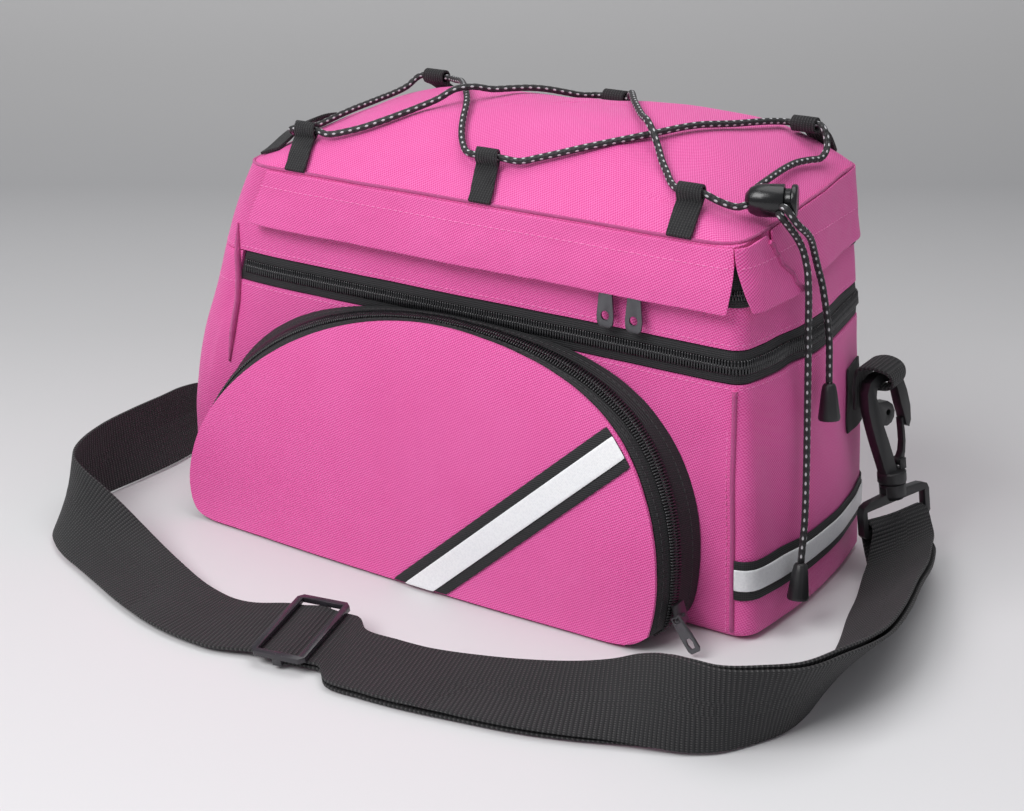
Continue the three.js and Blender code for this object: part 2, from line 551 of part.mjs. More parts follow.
const GATE_SHAPE = [
  // across, up: from the foot's round to the tip and back
  [7.9, 3.6], [9.3, 8], [10.2, 14], [10.1, 20], [9.5, 27.2], [8.1, 27.0], [8.4, 20], [8.4, 14], [7.4, 9], [5.2, 5.6], [3.6, 4.6], [3.3, 3.2], [4.0, 1.8], [5.6, 1.1], [7.2, 1.7],
];
const BASE_SHAPE = [
  // across, up: neck, shoulders and feet of the base
  [-7.2, -8], [-7.2, -11.6], [-20, -12.4], [-24, -14], [-25.4, -17], [-25.4, -29.6], [-23.6, -31.6], [23.6, -31.6], [25.4, -29.6], [25.4, -17], [24, -14], [20, -12.4], [7.2, -11.6], [7.2, -8],
];
const BASE_SLOT = [[-21.9, -27.8], [21.9, -27.8], [21.9, -17], [-21.9, -17]];
const BAR_V = -29.7; // middle of the bar that the strap turns over
const hookAt = (side) => V(endX(side, carrierY(side), 100) + side * hookOut(side), carrierY(side) + HOOK_PAST, HOOK.z);
const hookPoint = (side, ax, a, b, c = 0) => hookAt(side).addScaledVector(ax.u, a).addScaledVector(ax.up, b).addScaledVector(ax.w, c);
function hookBody(side) {
  const ax = hookAxes(side, HOOK.turn), at = hookAt(side), F = GATE_FOOT;
  const crook = plate(HOOK_SHAPE, [circle(-2.6, 33.6, 1.7, 10)], HOOK.thick, at, ax.u, ax.up);
  const stem = turned([[0, -14], [2.5, -14], [2.5, -6.4], [7.4, -6.4], [7.8, -5.6], [7.8, -0.8], [7.2, 0], [0, 0]], at, ax.up, 16);
  const ears = [-1, 1].map((k) => block([4.4, 5.8, 1.1], hookPoint(side, ax, F.u, 2.6, k * 3.0), ax.u, ax.up));
  const pin = turned([[0, -3], [F.pin, -3], [F.pin, 3], [0, 3]], hookPoint(side, ax, F.u, F.v), ax.w, 8);
  return join(crook, stem, ...ears, pin);
}
function hookGate(side) {
  const ax = hookAxes(side, HOOK.turn), F = GATE_FOOT;
  return plate(GATE_SHAPE, [circle(F.u, F.v, F.bore, 8)], 4, hookAt(side), ax.u, ax.up);
}
function swivelBase(side) {
  const ax = hookAxes(side, BASE_TURN), at = hookAt(side);
  const frame = plate(BASE_SHAPE, [BASE_SLOT], 4.6, at, ax.u, ax.up);
  const boss = turned([[0, -15.6], [5.6, -15.6], [7.2, -13.5], [7.2, -6.9], [0, -6.9]], at, ax.up, 16);
  const bore = turned([[0, -14.6], [2.95, -14.6], [2.95, -5], [0, -5]], at, ax.up, 16);
  return cut(join(frame, boss), bore);
}
// Webbing that carries each hook: a patch on the end and a loop that runs round the crook's top.
const CARRIER = [
  // outward from the end wall at mid height, z, half width, shift along y
  [3.0, 90, 12, 0], [3.0, 99, 12, 0], [3.2, 107, 12, 0], [5.2, 112, 12, 0], [9.5, 114.2, 12, 0], [15, 114.2, 11.6, 0.4], [20.2, 112.4, 10.6, 0.8],
  [22.4, 109, 9, 1.2], [21.8, 104.6, 7.4, 1.6], [18.8, 101.7, 5.4, 1.8], [14.5, 101.0, 5.0, 1.8], [10, 100.4, 5.0, 1.8], [6.2, 98.6, 5.0, 1.8], [5.2, 96.0, 5.0, 1.8],
];
const CARRIER_T = 1.7, HOOK_PAST = 4.6;
const carrierY = (side) => (side > 0 ? 50.5 : 31);
const hookOut = (side) => (side > 0 ? 23 : 25);
function endX(side, y, z) {
  const [, L, R, F, B, rl, rr, bl, br] = formAt(z);
  const r = side > 0 ? rr : rl, k = (2 * (y - (F + r))) / (B - F - 2 * r) - 1;
  return side > 0 ? R + br * Math.max(0, 1 - k * k) : L - bl * Math.max(0, 1 - k * k);
}
function carrier(side) {
  const y0 = carrierY(side), x0 = endX(side, y0, 100), n = 3;
  const path = CARRIER.map(([d, z, h, dy]) => ({ x: x0 + side * (d + 2.1 + (d > 6 ? hookOut(side) - 23 : 0)) + (endX(side, y0, z) - x0) * (d < 6 ? 1 : 0.4), z, h, y: y0 + dy }));
  const grid = (k) => path.map((p, i) => {
    const a = path[Math.max(0, i - 1)], b = path[Math.min(path.length - 1, i + 1)];
    const tx = b.x - a.x, tz = b.z - a.z, l = Math.hypot(tx, tz);
    return Array.from({ length: n }, (_, j) => V(p.x + (tz / l) * k, mix(p.y - p.h, p.y + p.h, j / (n - 1)), p.z - (tx / l) * k));
  });
  return sheet(grid(CARRIER_T / 2), grid(-CARRIER_T / 2));
}
// Patch on the end wall, under the carrier; columns counted from the side's start.
const PATCH = { right: [COL.rightStart + 4.82, COL.rightEnd], left: [COL.leftStart + 0.2, COL.leftStart + 1.8] };
const PATCH_ROWS = [[76.5, 0.5, 1.6], [88, 0.5, 1.6], [100, 0.5, 1.6], [112, 0.5, 1.6]];

// Strap as stations of its two edges: from the right hook's bar round the front to the buckle,
const STRAP = [
  // one edge x, y, z, other edge x, y, z
  [202.9, 35.6, 24.6, 218.2, 74.6, 24.6],
  [205.0, 33, 17.4, 223.4, 70, 20.2],
  [208.6, 25, 10.2, 231.7, 59.5, 18.4],
  [211.5, 14, 6.0, 237.5, 43, 21],
  [215.5, -3, 3.4, 244, 21, 23.5],
  [220, -24, 1.8, 250, -11, 27.3],
  [226.5, -50, 1.2, 256.5, -42, 30],
  [231, -75, 1.2, 259.4, -70, 31.6],
  [234.2, -96, 1.2, 258.6, -92.5, 35.2],
  [236.2, -115, 1.2, 254.5, -114.5, 38.8],
  [234, -134.5, 1.2, 246.5, -138.8, 41.1],
  [226.4, -150.6, 1.2, 232.6, -153.8, 42.4],
  [217.8, -164.3, 1.2, 217.4, -164.6, 43.2],
  [207.0, -173.3, 1.2, 202.1, -163.8, 41.8],
  [195.8, -178.6, 1.2, 187.8, -158.8, 37.3],
  [184.5, -183.1, 1.2, 172.8, -154.8, 29.6],
  [172.6, -188.4, 1.2, 158.5, -154.9, 21.8],
  [156.6, -195.2, 1.2, 143.0, -159.0, 17.4],
  [134.5, -202.6, 1.2, 123.8, -164.0, 14.0],
  [107.0, -208.7, 1.2, 99.8, -168.2, 10.3],
  [77.5, -214.3, 1.2, 70.4, -173.4, 7.6],
  [56, -216.8, 1.2, 50.0, -175.6, 7.6],
  [38, -217.4, 2.2, 32.0, -176.0, 8.6],
];
// and on from the buckle round the left end to the left hook's bar.
const STRAP_LEFT = [
  [-31, -220.6, 1.4, -35.5, -179.0, 6.0],
  [-46, -221.4, 1.2, -47.2, -179.6, 4.2],
  [-62, -220.6, 1.2, -57.6, -179.0, 4.1],
  [-82, -217.0, 1.2, -73.2, -176.4, 5.1],
  [-104.7, -210.4, 1.2, -90.8, -171.5, 7.5],
  [-128.1, -201.8, 1.2, -114.2, -163.6, 10.4],
  [-149.0, -194.2, 1.2, -135.4, -157.2, 15.4],
  [-166.1, -188.0, 1.2, -151.6, -155.6, 23.8],
  [-180.4, -180.4, 1.2, -165.8, -155.6, 31.6],
  [-193.1, -170.4, 1.2, -179.4, -154.8, 37.7],
  [-203.2, -155.4, 1.2, -194.0, -149.0, 41.6],
  [-208.4, -136.6, 1.2, -204.8, -134.4, 43.0],
  [-209.4, -112, 1.2, -213.8, -109, 42.8],
  [-207.6, -84, 1.2, -220.0, -78, 40.7],
  [-207, -58, 1.2, -223, -50, 39.4],
  [-208.5, -36, 1.6, -228.5, -24, 36.6],
  [-210.0, -16, 3.4, -234.5, 4, 30],
  [-209.4, -3, 6.4, -234, 24, 23],
  [-207.4, 6, 11, -230, 41, 19.4],
  [-204.6, 12.5, 17.6, -223, 50.5, 20.4],
  [-202.6, 16.1, 24.6, -217.9, 55.1, 24.6],
];
// Distance of each layer from the middle line, falling away from the hook's bar.
const SPREAD = [5.2, 4.6, 3.4, 2.5, 1.9, 1.7];
const spread = (i) => SPREAD[Math.min(i, SPREAD.length - 1)];
const FLOOR_CLEAR = 0.6;
// Stations of a strap as centre, across, along and outward directions; lifted where an edge would meet the floor.
function stations(table, far) {
  const mids = table.map((s) => V((s[0] + s[3]) / 2, (s[1] + s[4]) / 2, (s[2] + s[5]) / 2));
  return table.map((s, i) => {
    const w = V(s[3] - s[0], s[4] - s[1], s[5] - s[2]).normalize();
    const t = mids[Math.min(i + 1, mids.length - 1)].clone().sub(mids[Math.max(i - 1, 0)]);
    const n = w.clone().cross(t).normalize(), c = mids[i].clone();
    const low = c.z - (WEB / 2) * Math.abs(w.z) - (spread(far(i)) + WEB_T / 2) * Math.abs(n.z);
    c.z += Math.max(0, FLOOR_CLEAR - low);
    return { c, w, n, m: w.clone().cross(n) };
  });
}
// One cross-section of webbing whose middle lies off millimetres along e from the station.
const section = (st, e, off) =>
  [[-1, -1], [1, -1], [1, 1], [-1, 1]].map(([a, b]) =>
    st.c.clone().addScaledVector(st.w, (a * WEB) / 2).addScaledVector(e, off + (b * WEB_T) / 2));
// Turn of the webbing round a hook's bar; ahead points on past the bar.
const wrap = (st, ahead) =>
  [18, 54, 90, 126, 162].map((deg) => {
    const a = (deg * Math.PI) / 180;
    return section(st, st.n.clone().multiplyScalar(Math.cos(a)).addScaledVector(ahead, Math.sin(a)), spread(0));
  });
// Slide buckle: a frame with a middle bar. The webbing runs behind the frame's ends and over its bar.
const BUCKLE = { c: V(3.2, -191.6, 9.4), w: V(-0.155, 0.975, 0.14).normalize(), along: V(0.998, 0.05, 0.012), long: 30, tall: 50, end: 3.4, bar: 4.8, thick: 2.8 };
const buckleU = BUCKLE.along.clone().addScaledVector(BUCKLE.w, -BUCKLE.along.dot(BUCKLE.w)).normalize();
const buckleN = buckleU.clone().cross(BUCKLE.w);
const inBuckle = (d) => ({ c: BUCKLE.c.clone().addScaledVector(buckleU, d), w: BUCKLE.w });
// Webbing through the buckle: distance along, outer layer, inner layer.
const THREAD = [
  [21, -1.9, -4.6], [14.5, -1.3, -4.2], [11, -1.2, -4.2], [6, -0.4, -4.4], [2.2, 0.3, -4.5], [-1.8, 0.3, -4.5], [-6, -0.5, null], [-11, -1.3, null], [-13.2, -1.4, null],
];
const THREAD_LEFT = [[-13.8, -1.4], [-20, -1.9]];
function strapRight() {
  const st = stations(STRAP, (i) => i), outer = [], inner = [];
  for (const [d, o] of [...THREAD].reverse()) outer.push(section(inBuckle(d), buckleN, o));
  for (let i = st.length - 1; i >= 0; i--) outer.push(section(st[i], st[i].n, spread(i)));
  st.forEach((s, i) => inner.push(section(s, s.n.clone().negate(), spread(i))));
  for (const [d, , o] of THREAD) if (o !== null) inner.push(section(inBuckle(d), buckleN.clone().negate(), -o));
  return sweep([...outer, ...wrap(st[0], st[0].m), ...inner], false, (r) => (r < outer.length ? -1 : 1));
}
function strapLeft() {
  // the end is turned round the bar and sewn to itself
  const last = STRAP_LEFT.length - 1, st = stations(STRAP_LEFT, (i) => last - i), fold = 4, rings = [];
  for (const [d, o] of THREAD_LEFT) rings.push(section(inBuckle(d), buckleN, o));
  st.forEach((s, i) => rings.push(section(s, s.n, last - i <= fold ? spread(last - i) : last - i === fold + 1 ? 1.2 : 0)));
  rings.push(...wrap(st[last], st[last].m.clone().negate()));
  const turn = rings.length - 2;
  for (let k = 0; k < fold; k++) rings.push(section(st[last - k], st[last - k].n.clone().negate(), spread(k)));
  return sweep(rings, false, (r) => (r < turn ? 1 : -1));
}
function triGlide() {
  const B = BUCKLE, a = B.long / 2, b = B.tall / 2, r = 2.6, lift = B.thick / 2;
  const face = [[-a + r, -b], [a - r, -b], [a, -b + r], [a, b - r], [a - r, b], [-a + r, b], [-a, b - r], [-a, -b + r]];
  const frame = plate(face, [], B.thick, B.c.clone().addScaledVector(buckleN, lift), buckleU, B.w);
  const open = cut(frame, block([B.long - 2 * B.end, B.tall - 6, 12], B.c, buckleU, B.w));
  const at = (d, n) => B.c.clone().addScaledVector(buckleU, d).addScaledVector(buckleN, n);
  const ends = [-1, 1].map((k) => block([B.bar, 3, 6.4], at(0, -0.4).addScaledVector(B.w, k * (b - 1.6)), buckleU, B.w));
  return join(open, ...ends, block([B.bar, B.tall - 4, 1.9], at(0, -2.2), buckleU, B.w));
}

// ---------------------------------------------------------------- zip sliders and pull tabs
const TAB_SHAPE = [[-2.9, 1.7], [2.9, 1.7], [3.2, -3], [4.1, -12], [4.75, -19], [4.2, -23.2], [2.6, -24.6], [-2.6, -24.6], [-4.2, -23.2], [-4.75, -19], [-4.1, -12], [-3.2, -3]];
const TAB_EYE = [[-1.7, -1.5], [1.7, -1.5], [1.7, 0.6], [-1.7, 0.6]];
const LID_PULLS = [
  // name, x, z of the slider's middle
  ["left", 103.5, 178],
  ["right", 119.3, 178],
];
const TAB_Z = 176.6;
function lidSlider(x, z) {
  const y = FRONT_Y;
  return join(
    block([8, 1.7, 11], V(x, y - 2.4, z), V(1, 0, 0), V(0, 1, 0)),
    block([2.2, 2.6, 1.2], V(x, y - 4.1, TAB_Z - 0.4), V(1, 0, 0), V(0, 1, 0)),
  );
}
const lidTab = (x) => plate(TAB_SHAPE, [TAB_EYE, circle(0, -18.6, 2.3, 12)], 1.3, V(x, FRONT_Y - 4.45, TAB_Z), V(1, 0, 0), V(0, 0, 1));
// The pocket's slider stands at the right foot of its zip; its tab hangs in front of it from a side pin.
const POCKET_PULL = {
  at: V(156.4, -88.2, 17.6), down: V(0.34, 0, -0.94).normalize(), out: V(0.94, 0, 0.34).normalize(),
  pin: [3.1, 0.8], tabY: -95.5, tabHang: V(0.612, 0, -0.791).normalize(), tabAcross: V(0.791, 0, 0.612).normalize(),
};
const pocketPin = (y) => {
  const P = POCKET_PULL, c = P.at.clone().addScaledVector(P.out, P.pin[0]).addScaledVector(P.down, P.pin[1]);
  return V(c.x, y, c.z);
};
function pocketSlider() {
  const P = POCKET_PULL, y = V(0, 1, 0);
  return join(
    block([8.4, 10.5, 2.6], P.at.clone().addScaledVector(P.out, 1.1), y, P.down),
    block([2.2, 1.6, 2.2], pocketPin(P.at.y).addScaledVector(P.out, -0.4), y, P.down),
    block([9, 1, 1], pocketPin(P.at.y - 4.2), y, P.down),
  );
}
const POCKET_TAB = [[-2.8, 2.1], [2.8, 2.1], [3.1, -2], [3.7, -9], [3.7, -16.4], [2.6, -18.2], [-2.6, -18.2], [-3.7, -16.4], [-3.7, -9], [-3.1, -2]];
function pocketTab() {
  const P = POCKET_PULL;
  return plate(POCKET_TAB, [[[-1.7, -1.35], [1.7, -1.35], [1.7, 1.35], [-1.7, 1.35]], [[-1.2, -15.8], [1.2, -15.8], [1.9, -13], [1.2, -10.4], [-1.2, -10.4], [-1.9, -13]]], 1.3, pocketPin(P.tabY), P.tabAcross, P.tabHang.clone().negate());
}

// Flat strip that bridges the left end's top edge.
const STRIP = [
  // y, height over the surface
  [-56, 1.2], [-50, 1.4], [-42, 3.2], [-32, 5.4], [-21, 6.2], [-10, 5.2], [-2, 3.0], [5, 1.4], [11, 1.2],
];
function endStrip() {
  const half = 6.5, x0 = -119.5, n = 3;
  const grid = (k) => STRIP.map(([y, h]) => Array.from({ length: n }, (_, j) => {
    const x = x0 + mix(-half, half, j / (n - 1));
    return over(x, y, h + k);
  }));
  return sheet(grid(0.9), grid(-0.7));
}

const parts = [];
const add = (name, geometry, color, roughness, metalness = 0) => {
  const m = new THREE.Mesh(geometry, new THREE.MeshStandardMaterial({ color, roughness, metalness }));
  m.name = name;
  parts.push(m);
};
const CLOTH_PINK = 0xd9438f, BLACK_CLOTH = 0x17171a, BLACK_PLASTIC = 0x1c1c1f, DARK_METAL = 0x2b2b30, SILVER = 0xcfd3da;

add("body_shell", bodyShell(), CLOTH_PINK, 0.85);
add("lid_shell", lidShell(), CLOTH_PINK, 0.85);
add("main_zip_band", band(0, COL.backEnd, 1, [[ZIP_LOW + 0.3, -2.2, -0.5], [142.5, -2.0, 0.1], [ZIP_HIGH - 0.35, -2.2, -0.5]]), BLACK_CLOTH, 0.8);
add("lid_zip_tape", band(0.2, COL.backEnd - 0.2, 1, [[172, 0.75, 1.3], [191.5, 0.75, 1.3]]), BLACK_CLOTH, 0.8);

// storm flaps: rows run from the seam down to the free edge
const slit = (r, atSeam, atEdge) => COL.frontEnd + mix(atSeam, atEdge, Math.max(0, (r - 0.25) / 0.75));
add("storm_flap_front", band(0.15, (r) => slit(r, 1.55, 0.7), 1, [
  [(u) => seamAt(u) - 0.6, 0.5, 1.7], [191.5, 2.2, 3.4], [184, 4.2, 5.4], [177, 5.5, 6.7], [170, 6.2, 7.4],
]), CLOTH_PINK, 0.85);
add("storm_flap_corner", band((r) => slit(r, 1.65, 2.7), (r) => COL.rightStart + mix(0.72, 1.95, r), 0.7, [
  [(u) => seamAt(u) - 0.6, 1.9, 3.0], [191.5, 3.1, 4.3], [184, 4.6, 5.8], [177, 5.7, 6.9], [170.5, 6.4, 7.6],
]), CLOTH_PINK, 0.85);
const RIGHT_FLAP = [COL.rightStart + 1.05, COL.backStart - 1];
add("storm_flap_right", band(RIGHT_FLAP[0], RIGHT_FLAP[1], 0.8, [
  [(u) => seamAt(u) - 0.6, 0.4, 1.4], [192, 1.7, 2.7], [182, 2.3, 3.3], [(u) => mix(171, 177, (u - RIGHT_FLAP[0]) / (RIGHT_FLAP[1] - RIGHT_FLAP[0])), 3.0, 4.0],
]), CLOTH_PINK, 0.85);
add("storm_flap_back", band(COL.backStart - 0.7, COL.backEnd - 0.15, 1, [
  [(u) => seamAt(u) - 0.6, 0.4, 1.4], [192, 1.7, 2.7], [182, 2.4, 3.4], [173, 3.2, 4.2],
]), CLOTH_PINK, 0.85);

// pocket
add("pocket_face", pocketPanel(), CLOTH_PINK, 0.85);
add("pocket_zip_gusset", pocketGusset(), BLACK_CLOTH, 0.8);
add("pocket_floor", pocketBottom(), CLOTH_PINK, 0.85);
add("pocket_stripe_edge", slantBand(-40.5, -17.5, 0.4, 0.5), BLACK_CLOTH, 0.8);
add("pocket_stripe", slantBand(-35.2, -22.9, 1.2, 0.4), SILVER, 0.3);

// reflective band on the right end
add("end_stripe_edge", band(COL.frontEnd + 0.2, COL.backStart - 0.8, 0.8, [[23, 0.5, 1.0], [33.5, 0.5, 1.0], [44, 0.5, 1.0]]), BLACK_CLOTH, 0.8);
add("end_stripe", band(COL.frontEnd + 0.25, COL.backStart - 0.85, 0.8, [[28.3, 1.3, 1.7], [34, 1.3, 1.7], [39.6, 1.3, 1.7]]), SILVER, 0.3);

// cord loops
for (const spec of LOOPS) add(spec[0], cordLoop(spec), BLACK_CLOTH, 0.8);

add("lacing_cord", cord(smooth(lacingCord(), 10.4), CORD_R, 8), BLACK_CLOTH, 0.8);
add("cord_tail_long", cord(smooth(TAIL_LONG.map((p) => V(...p)), 10), CORD_R, 8), BLACK_CLOTH, 0.8);
add("cord_tail_short", cord(smooth(TAIL_SHORT.map((p) => V(...p)), 10), CORD_R, 8), BLACK_CLOTH, 0.8);
add("bell_end_long", bellAt(TAIL_LONG, 0.3), BLACK_PLASTIC, 0.5);
add("bell_end_short", bellAt(TAIL_SHORT, 0.3), BLACK_PLASTIC, 0.5);

// cord lock: barrel with a domed end and a bore for the sprung plunger
add("cord_lock_barrel", turned([
  [0, -12.3], [3.4, -11.7], [6.2, -9.4], [7.6, -6], [7.9, -2.5], [7.9, 6.4], [6.4, 6.4], [6.4, -4], [0, -4],
], LOCK.at, LOCK.axis, 16), BLACK_PLASTIC, 0.5);
add("cord_lock_plunger", turned([
  [0, -0.4], [5.9, -0.4], [5.9, 9.7], [7.7, 9.7], [7.9, 10.3], [7.9, 11.8], [7.2, 12.6], [0, 12.6],
], LOCK.at, LOCK.axis, 16), BLACK_PLASTIC, 0.5);

// zip pulls
for (const [side, x, z] of LID_PULLS) {
  add(`lid_slider_${side}`, lidSlider(x, z), DARK_METAL, 0.35, 0.9);
  add(`lid_pull_tab_${side}`, lidTab(x), DARK_METAL, 0.35, 0.9);
}
add("pocket_slider", pocketSlider(), DARK_METAL, 0.35, 0.9);
add("pocket_pull_tab", pocketTab(), DARK_METAL, 0.35, 0.9);

// hooks and their webbing, the strap and its buckle
for (const [word, side] of [["right", 1], ["left", -1]]) {
  add(`end_patch_${word}`, band(PATCH[word][0], PATCH[word][1], 0.6, PATCH_ROWS), BLACK_CLOTH, 0.85);
  add(`hook_carrier_${word}`, carrier(side), BLACK_CLOTH, 0.85);
  add(`hook_body_${word}`, hookBody(side), BLACK_PLASTIC, 0.45);
  add(`hook_gate_${word}`, hookGate(side), BLACK_PLASTIC, 0.45);
  add(`swivel_base_${word}`, swivelBase(side), BLACK_PLASTIC, 0.45);
}
add("strap_right", strapRight(), BLACK_CLOTH, 0.85);
add("strap_left", strapLeft(), BLACK_CLOTH, 0.85);
add("strap_buckle", triGlide(), BLACK_PLASTIC, 0.45);
add("end_strip", endStrip(), BLACK_CLOTH, 0.85);

const group = new THREE.Group();
for (const m of parts) group.add(m);
export default group;
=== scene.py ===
import json
import math

import bmesh
import bpy
import numpy as np
from mathutils import Matrix, Vector, noise
from mathutils.bvhtree import BVHTree


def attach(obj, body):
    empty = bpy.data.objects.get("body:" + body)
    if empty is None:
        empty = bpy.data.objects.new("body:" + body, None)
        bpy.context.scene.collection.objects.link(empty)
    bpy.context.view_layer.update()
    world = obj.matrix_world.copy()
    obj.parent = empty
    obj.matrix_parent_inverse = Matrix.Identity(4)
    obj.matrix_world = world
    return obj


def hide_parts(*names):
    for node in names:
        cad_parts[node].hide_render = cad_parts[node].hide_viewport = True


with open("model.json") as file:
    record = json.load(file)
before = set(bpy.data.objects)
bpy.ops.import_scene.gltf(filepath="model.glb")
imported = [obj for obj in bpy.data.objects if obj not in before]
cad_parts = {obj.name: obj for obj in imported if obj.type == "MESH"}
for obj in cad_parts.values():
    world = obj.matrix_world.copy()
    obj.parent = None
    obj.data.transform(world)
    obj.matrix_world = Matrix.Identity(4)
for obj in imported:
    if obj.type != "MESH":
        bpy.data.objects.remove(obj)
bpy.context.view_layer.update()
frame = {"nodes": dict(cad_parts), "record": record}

NODES = frame["nodes"]
BODY = {n: b for b, members in frame["record"]["behaviour"]["bodies"].items() for n in members}
MM = 0.001
V = Vector


# ---------------------------------------------------------------- camera, floor and light
def place_camera():
    data = bpy.data.cameras.new("camera")
    data.sensor_width = 36
    data.sensor_fit = "HORIZONTAL"
    data.lens = 62.72
    data.clip_end = 30
    cam = bpy.data.objects.new("camera", data)
    bpy.context.scene.collection.objects.link(cam)
    look = V((-0.50981, 0.77907, -0.36488)).normalized()
    right = look.cross(V((0, 0, 1))).normalized()
    up = right.cross(look)
    m = Matrix((right, up, -look)).transposed().to_4x4()
    m.translation = V((514.1, -783.8, 432.0)) * MM
    cam.matrix_world = m
    bpy.context.scene.camera = cam


def area_light(name, at, target, size, power, color=(1, 1, 1)):
    data = bpy.data.lights.new(name, "AREA")
    data.shape = "RECTANGLE"
    data.size, data.size_y = size
    data.energy = power
    data.color = color
    o = bpy.data.objects.new(name, data)
    o.location = at
    o.rotation_euler = (V(target) - V(at)).to_track_quat("-Z", "Y").to_euler()
    bpy.context.scene.collection.objects.link(o)


def build_stage():
    # a pale floor that curves up into the backdrop behind the bag
    away = V((-0.5476, 0.8367, 0)).normalized()
    side = V((0.8367, 0.5476, 0)).normalized()
    profile = [(-3.0, 0), (-1.5, 0), (0.2, 0), (0.9, 0), (1.3, 0.02), (1.7, 0.12), (2.1, 0.36), (2.4, 0.8), (2.55, 1.5), (2.6, 3.2)]
    bm = bmesh.new()
    rows = [[bm.verts.new(away * d + side * s + V((0, 0, z))) for s in np.linspace(-4, 4, 9)] for d, z in profile]
    for a, b in zip(rows[:-1], rows[1:]):
        for i in range(8):
            bm.faces.new((a[i], a[i + 1], b[i + 1], b[i]))
    o = new_object("floor", bm)
    smooth_shade(o)
    o.data.materials.append(stage_material())
    bpy.context.scene.view_settings.view_transform = "Standard"
    world = bpy.data.worlds.new("world")
    bpy.context.scene.world = world
    world.use_nodes = True
    bg = world.node_tree.nodes["Background"]
    bg.inputs["Color"].default_value = (0.93, 0.94, 0.97, 1)
    bg.inputs["Strength"].default_value = 0.27
    area_light("key", (-0.55, -1.55, 1.75), (0.0, -0.05, 0.1), (1.5, 1.1), 39)
    area_light("top", (0.1, 0.25, 1.9), (0.0, 0.0, 0.1), (1.8, 1.4), 15.5)
    area_light("fill", (1.9, -0.7, 0.8), (0.1, 0, 0.12), (1.0, 1.4), 1.2, (0.95, 0.90, 1.0))


# ---------------------------------------------------------------- small helpers
def new_object(name, bm):
    mesh = bpy.data.meshes.new(name)
    bm.normal_update()
    bm.to_mesh(mesh)
    bm.free()
    o = bpy.data.objects.new(name, mesh)
    bpy.context.scene.collection.objects.link(o)
    return o


def smooth_shade(o, angle=None):
    for p in o.data.polygons:
        p.use_smooth = True
    if angle is not None:
        bm = bmesh.new()
        bm.from_mesh(o.data)
        for e in bm.edges:
            e.smooth = not (len(e.link_faces) == 2 and e.calc_face_angle(0) > angle)
        bm.to_mesh(o.data)
        bm.free()


def apply_modifiers(o):
    dg = bpy.context.evaluated_depsgraph_get()
    mesh = bpy.data.meshes.new_from_object(o.evaluated_get(dg))
    o.modifiers.clear()
    old = o.data
    o.data = mesh
    bpy.data.meshes.remove(old)


def piece(o, body, slot, material, *nodes):
    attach(o, body)
    if nodes:
        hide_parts(*nodes)
    if material is not None:
        o.data.materials.clear()
        o.data.materials.append(material)
    return o


def clean(node):
    """A CAD node's mesh with its vertices joined."""
    bm = bmesh.new()
    bm.from_mesh(NODES[node].data)
    bmesh.ops.remove_doubles(bm, verts=bm.verts, dist=2e-6)
    return bm


def around_direction(p):
    """Outward direction of the bag's rounded box at a point."""
    q = V(((p.x - 0.01) / 0.175, (p.y - 0.001) / 0.071, (p.z - 0.115) / 0.125))
    d = V((math.copysign(abs(q.x) ** 7, q.x), math.copysign(abs(q.y) ** 7, q.y), math.copysign(abs(q.z) ** 7, q.z) if q.z > 0 else 0))
    return d.normalized() if d.length > 1e-9 else V((0, 0, 0))


# Shallow folds: middle, direction along the fold, half length, half width, depth (metres); only near the given side.
FOLDS = [
    # right end
    ((0.190, -0.012, 0.118), (0.0, 0.62, -0.78), 0.050, 0.0075, -0.0026),
    ((0.190, 0.012, 0.112), (0.0, 0.62, -0.78), 0.046, 0.0085, 0.0016),
    ((0.190, 0.032, 0.088), (0.0, 0.50, -0.86), 0.040, 0.0080, -0.0020),
    ((0.190, -0.045, 0.060), (0.0, 0.20, -0.98), 0.050, 0.0090, -0.0014),
    # left end
    ((-0.178, -0.010, 0.120), (0.0, 0.45, -0.89), 0.050, 0.0090, -0.0022),
    ((-0.176, 0.030, 0.090), (0.0, 0.62, -0.78), 0.045, 0.0090, -0.0018),
    # front, above the pocket's shoulders
    ((0.160, -0.069, 0.080), (0.25, 0.0, -0.97), 0.045, 0.0060, -0.0016),
    ((-0.165, -0.069, 0.090), (0.20, 0.0, 0.98), 0.045, 0.0070, -0.0018),
    # back
    ((-0.080, 0.071, 0.075), (0.95, 0.0, 0.31), 0.090, 0.0120, -0.0016),
    ((0.070, 0.071, 0.095), (0.97, 0.0, -0.24), 0.100, 0.0130, -0.0014),
    # lid
    ((-0.060, -0.02, 0.235), (0.82, 0.57, 0.0), 0.060, 0.0090, -0.0012),
    ((0.070, 0.01, 0.240), (0.80, -0.60, 0.0), 0.060, 0.0090, -0.0012),
]


def settle(p, amount=1.0):
    """How far the cloth at a point strays from its plain form."""
    d = around_direction(p)
    a = 0.0011 * noise.noise(p * 17.0) + 0.0006 * noise.noise(p * 41.0 + V((3.1, 1.7, 5.2)))
    for at, run, half, width, depth in FOLDS:
        v = p - V(at)
        if abs(v.x) > 0.12 or v.length > half * 2.2:
            continue
        r = V(run)
        s = v.dot(r)
        c = (v - r * s - d * v.dot(d)).length
        a += depth * math.exp(-((s / half) ** 2) * 1.6 - (c / width) ** 2)
    fade = min(1.0, max(0.0, p.z / 0.012))
    return d * (a * amount * fade)


def pair_up(bm):
    """Quads from a grid's triangles: two that share their longest edge become one face."""
    bm.faces.index_update()
    longest = [max(f.edges, key=lambda e: e.calc_length()).index for f in bm.faces]
    pick = [e for e in bm.edges if len(e.link_faces) == 2 and all(longest[f.index] == e.index for f in e.link_faces) and e.calc_face_angle(0) < math.radians(28)]
    bmesh.ops.dissolve_edges(bm, edges=pick, use_verts=False, use_face_split=False)


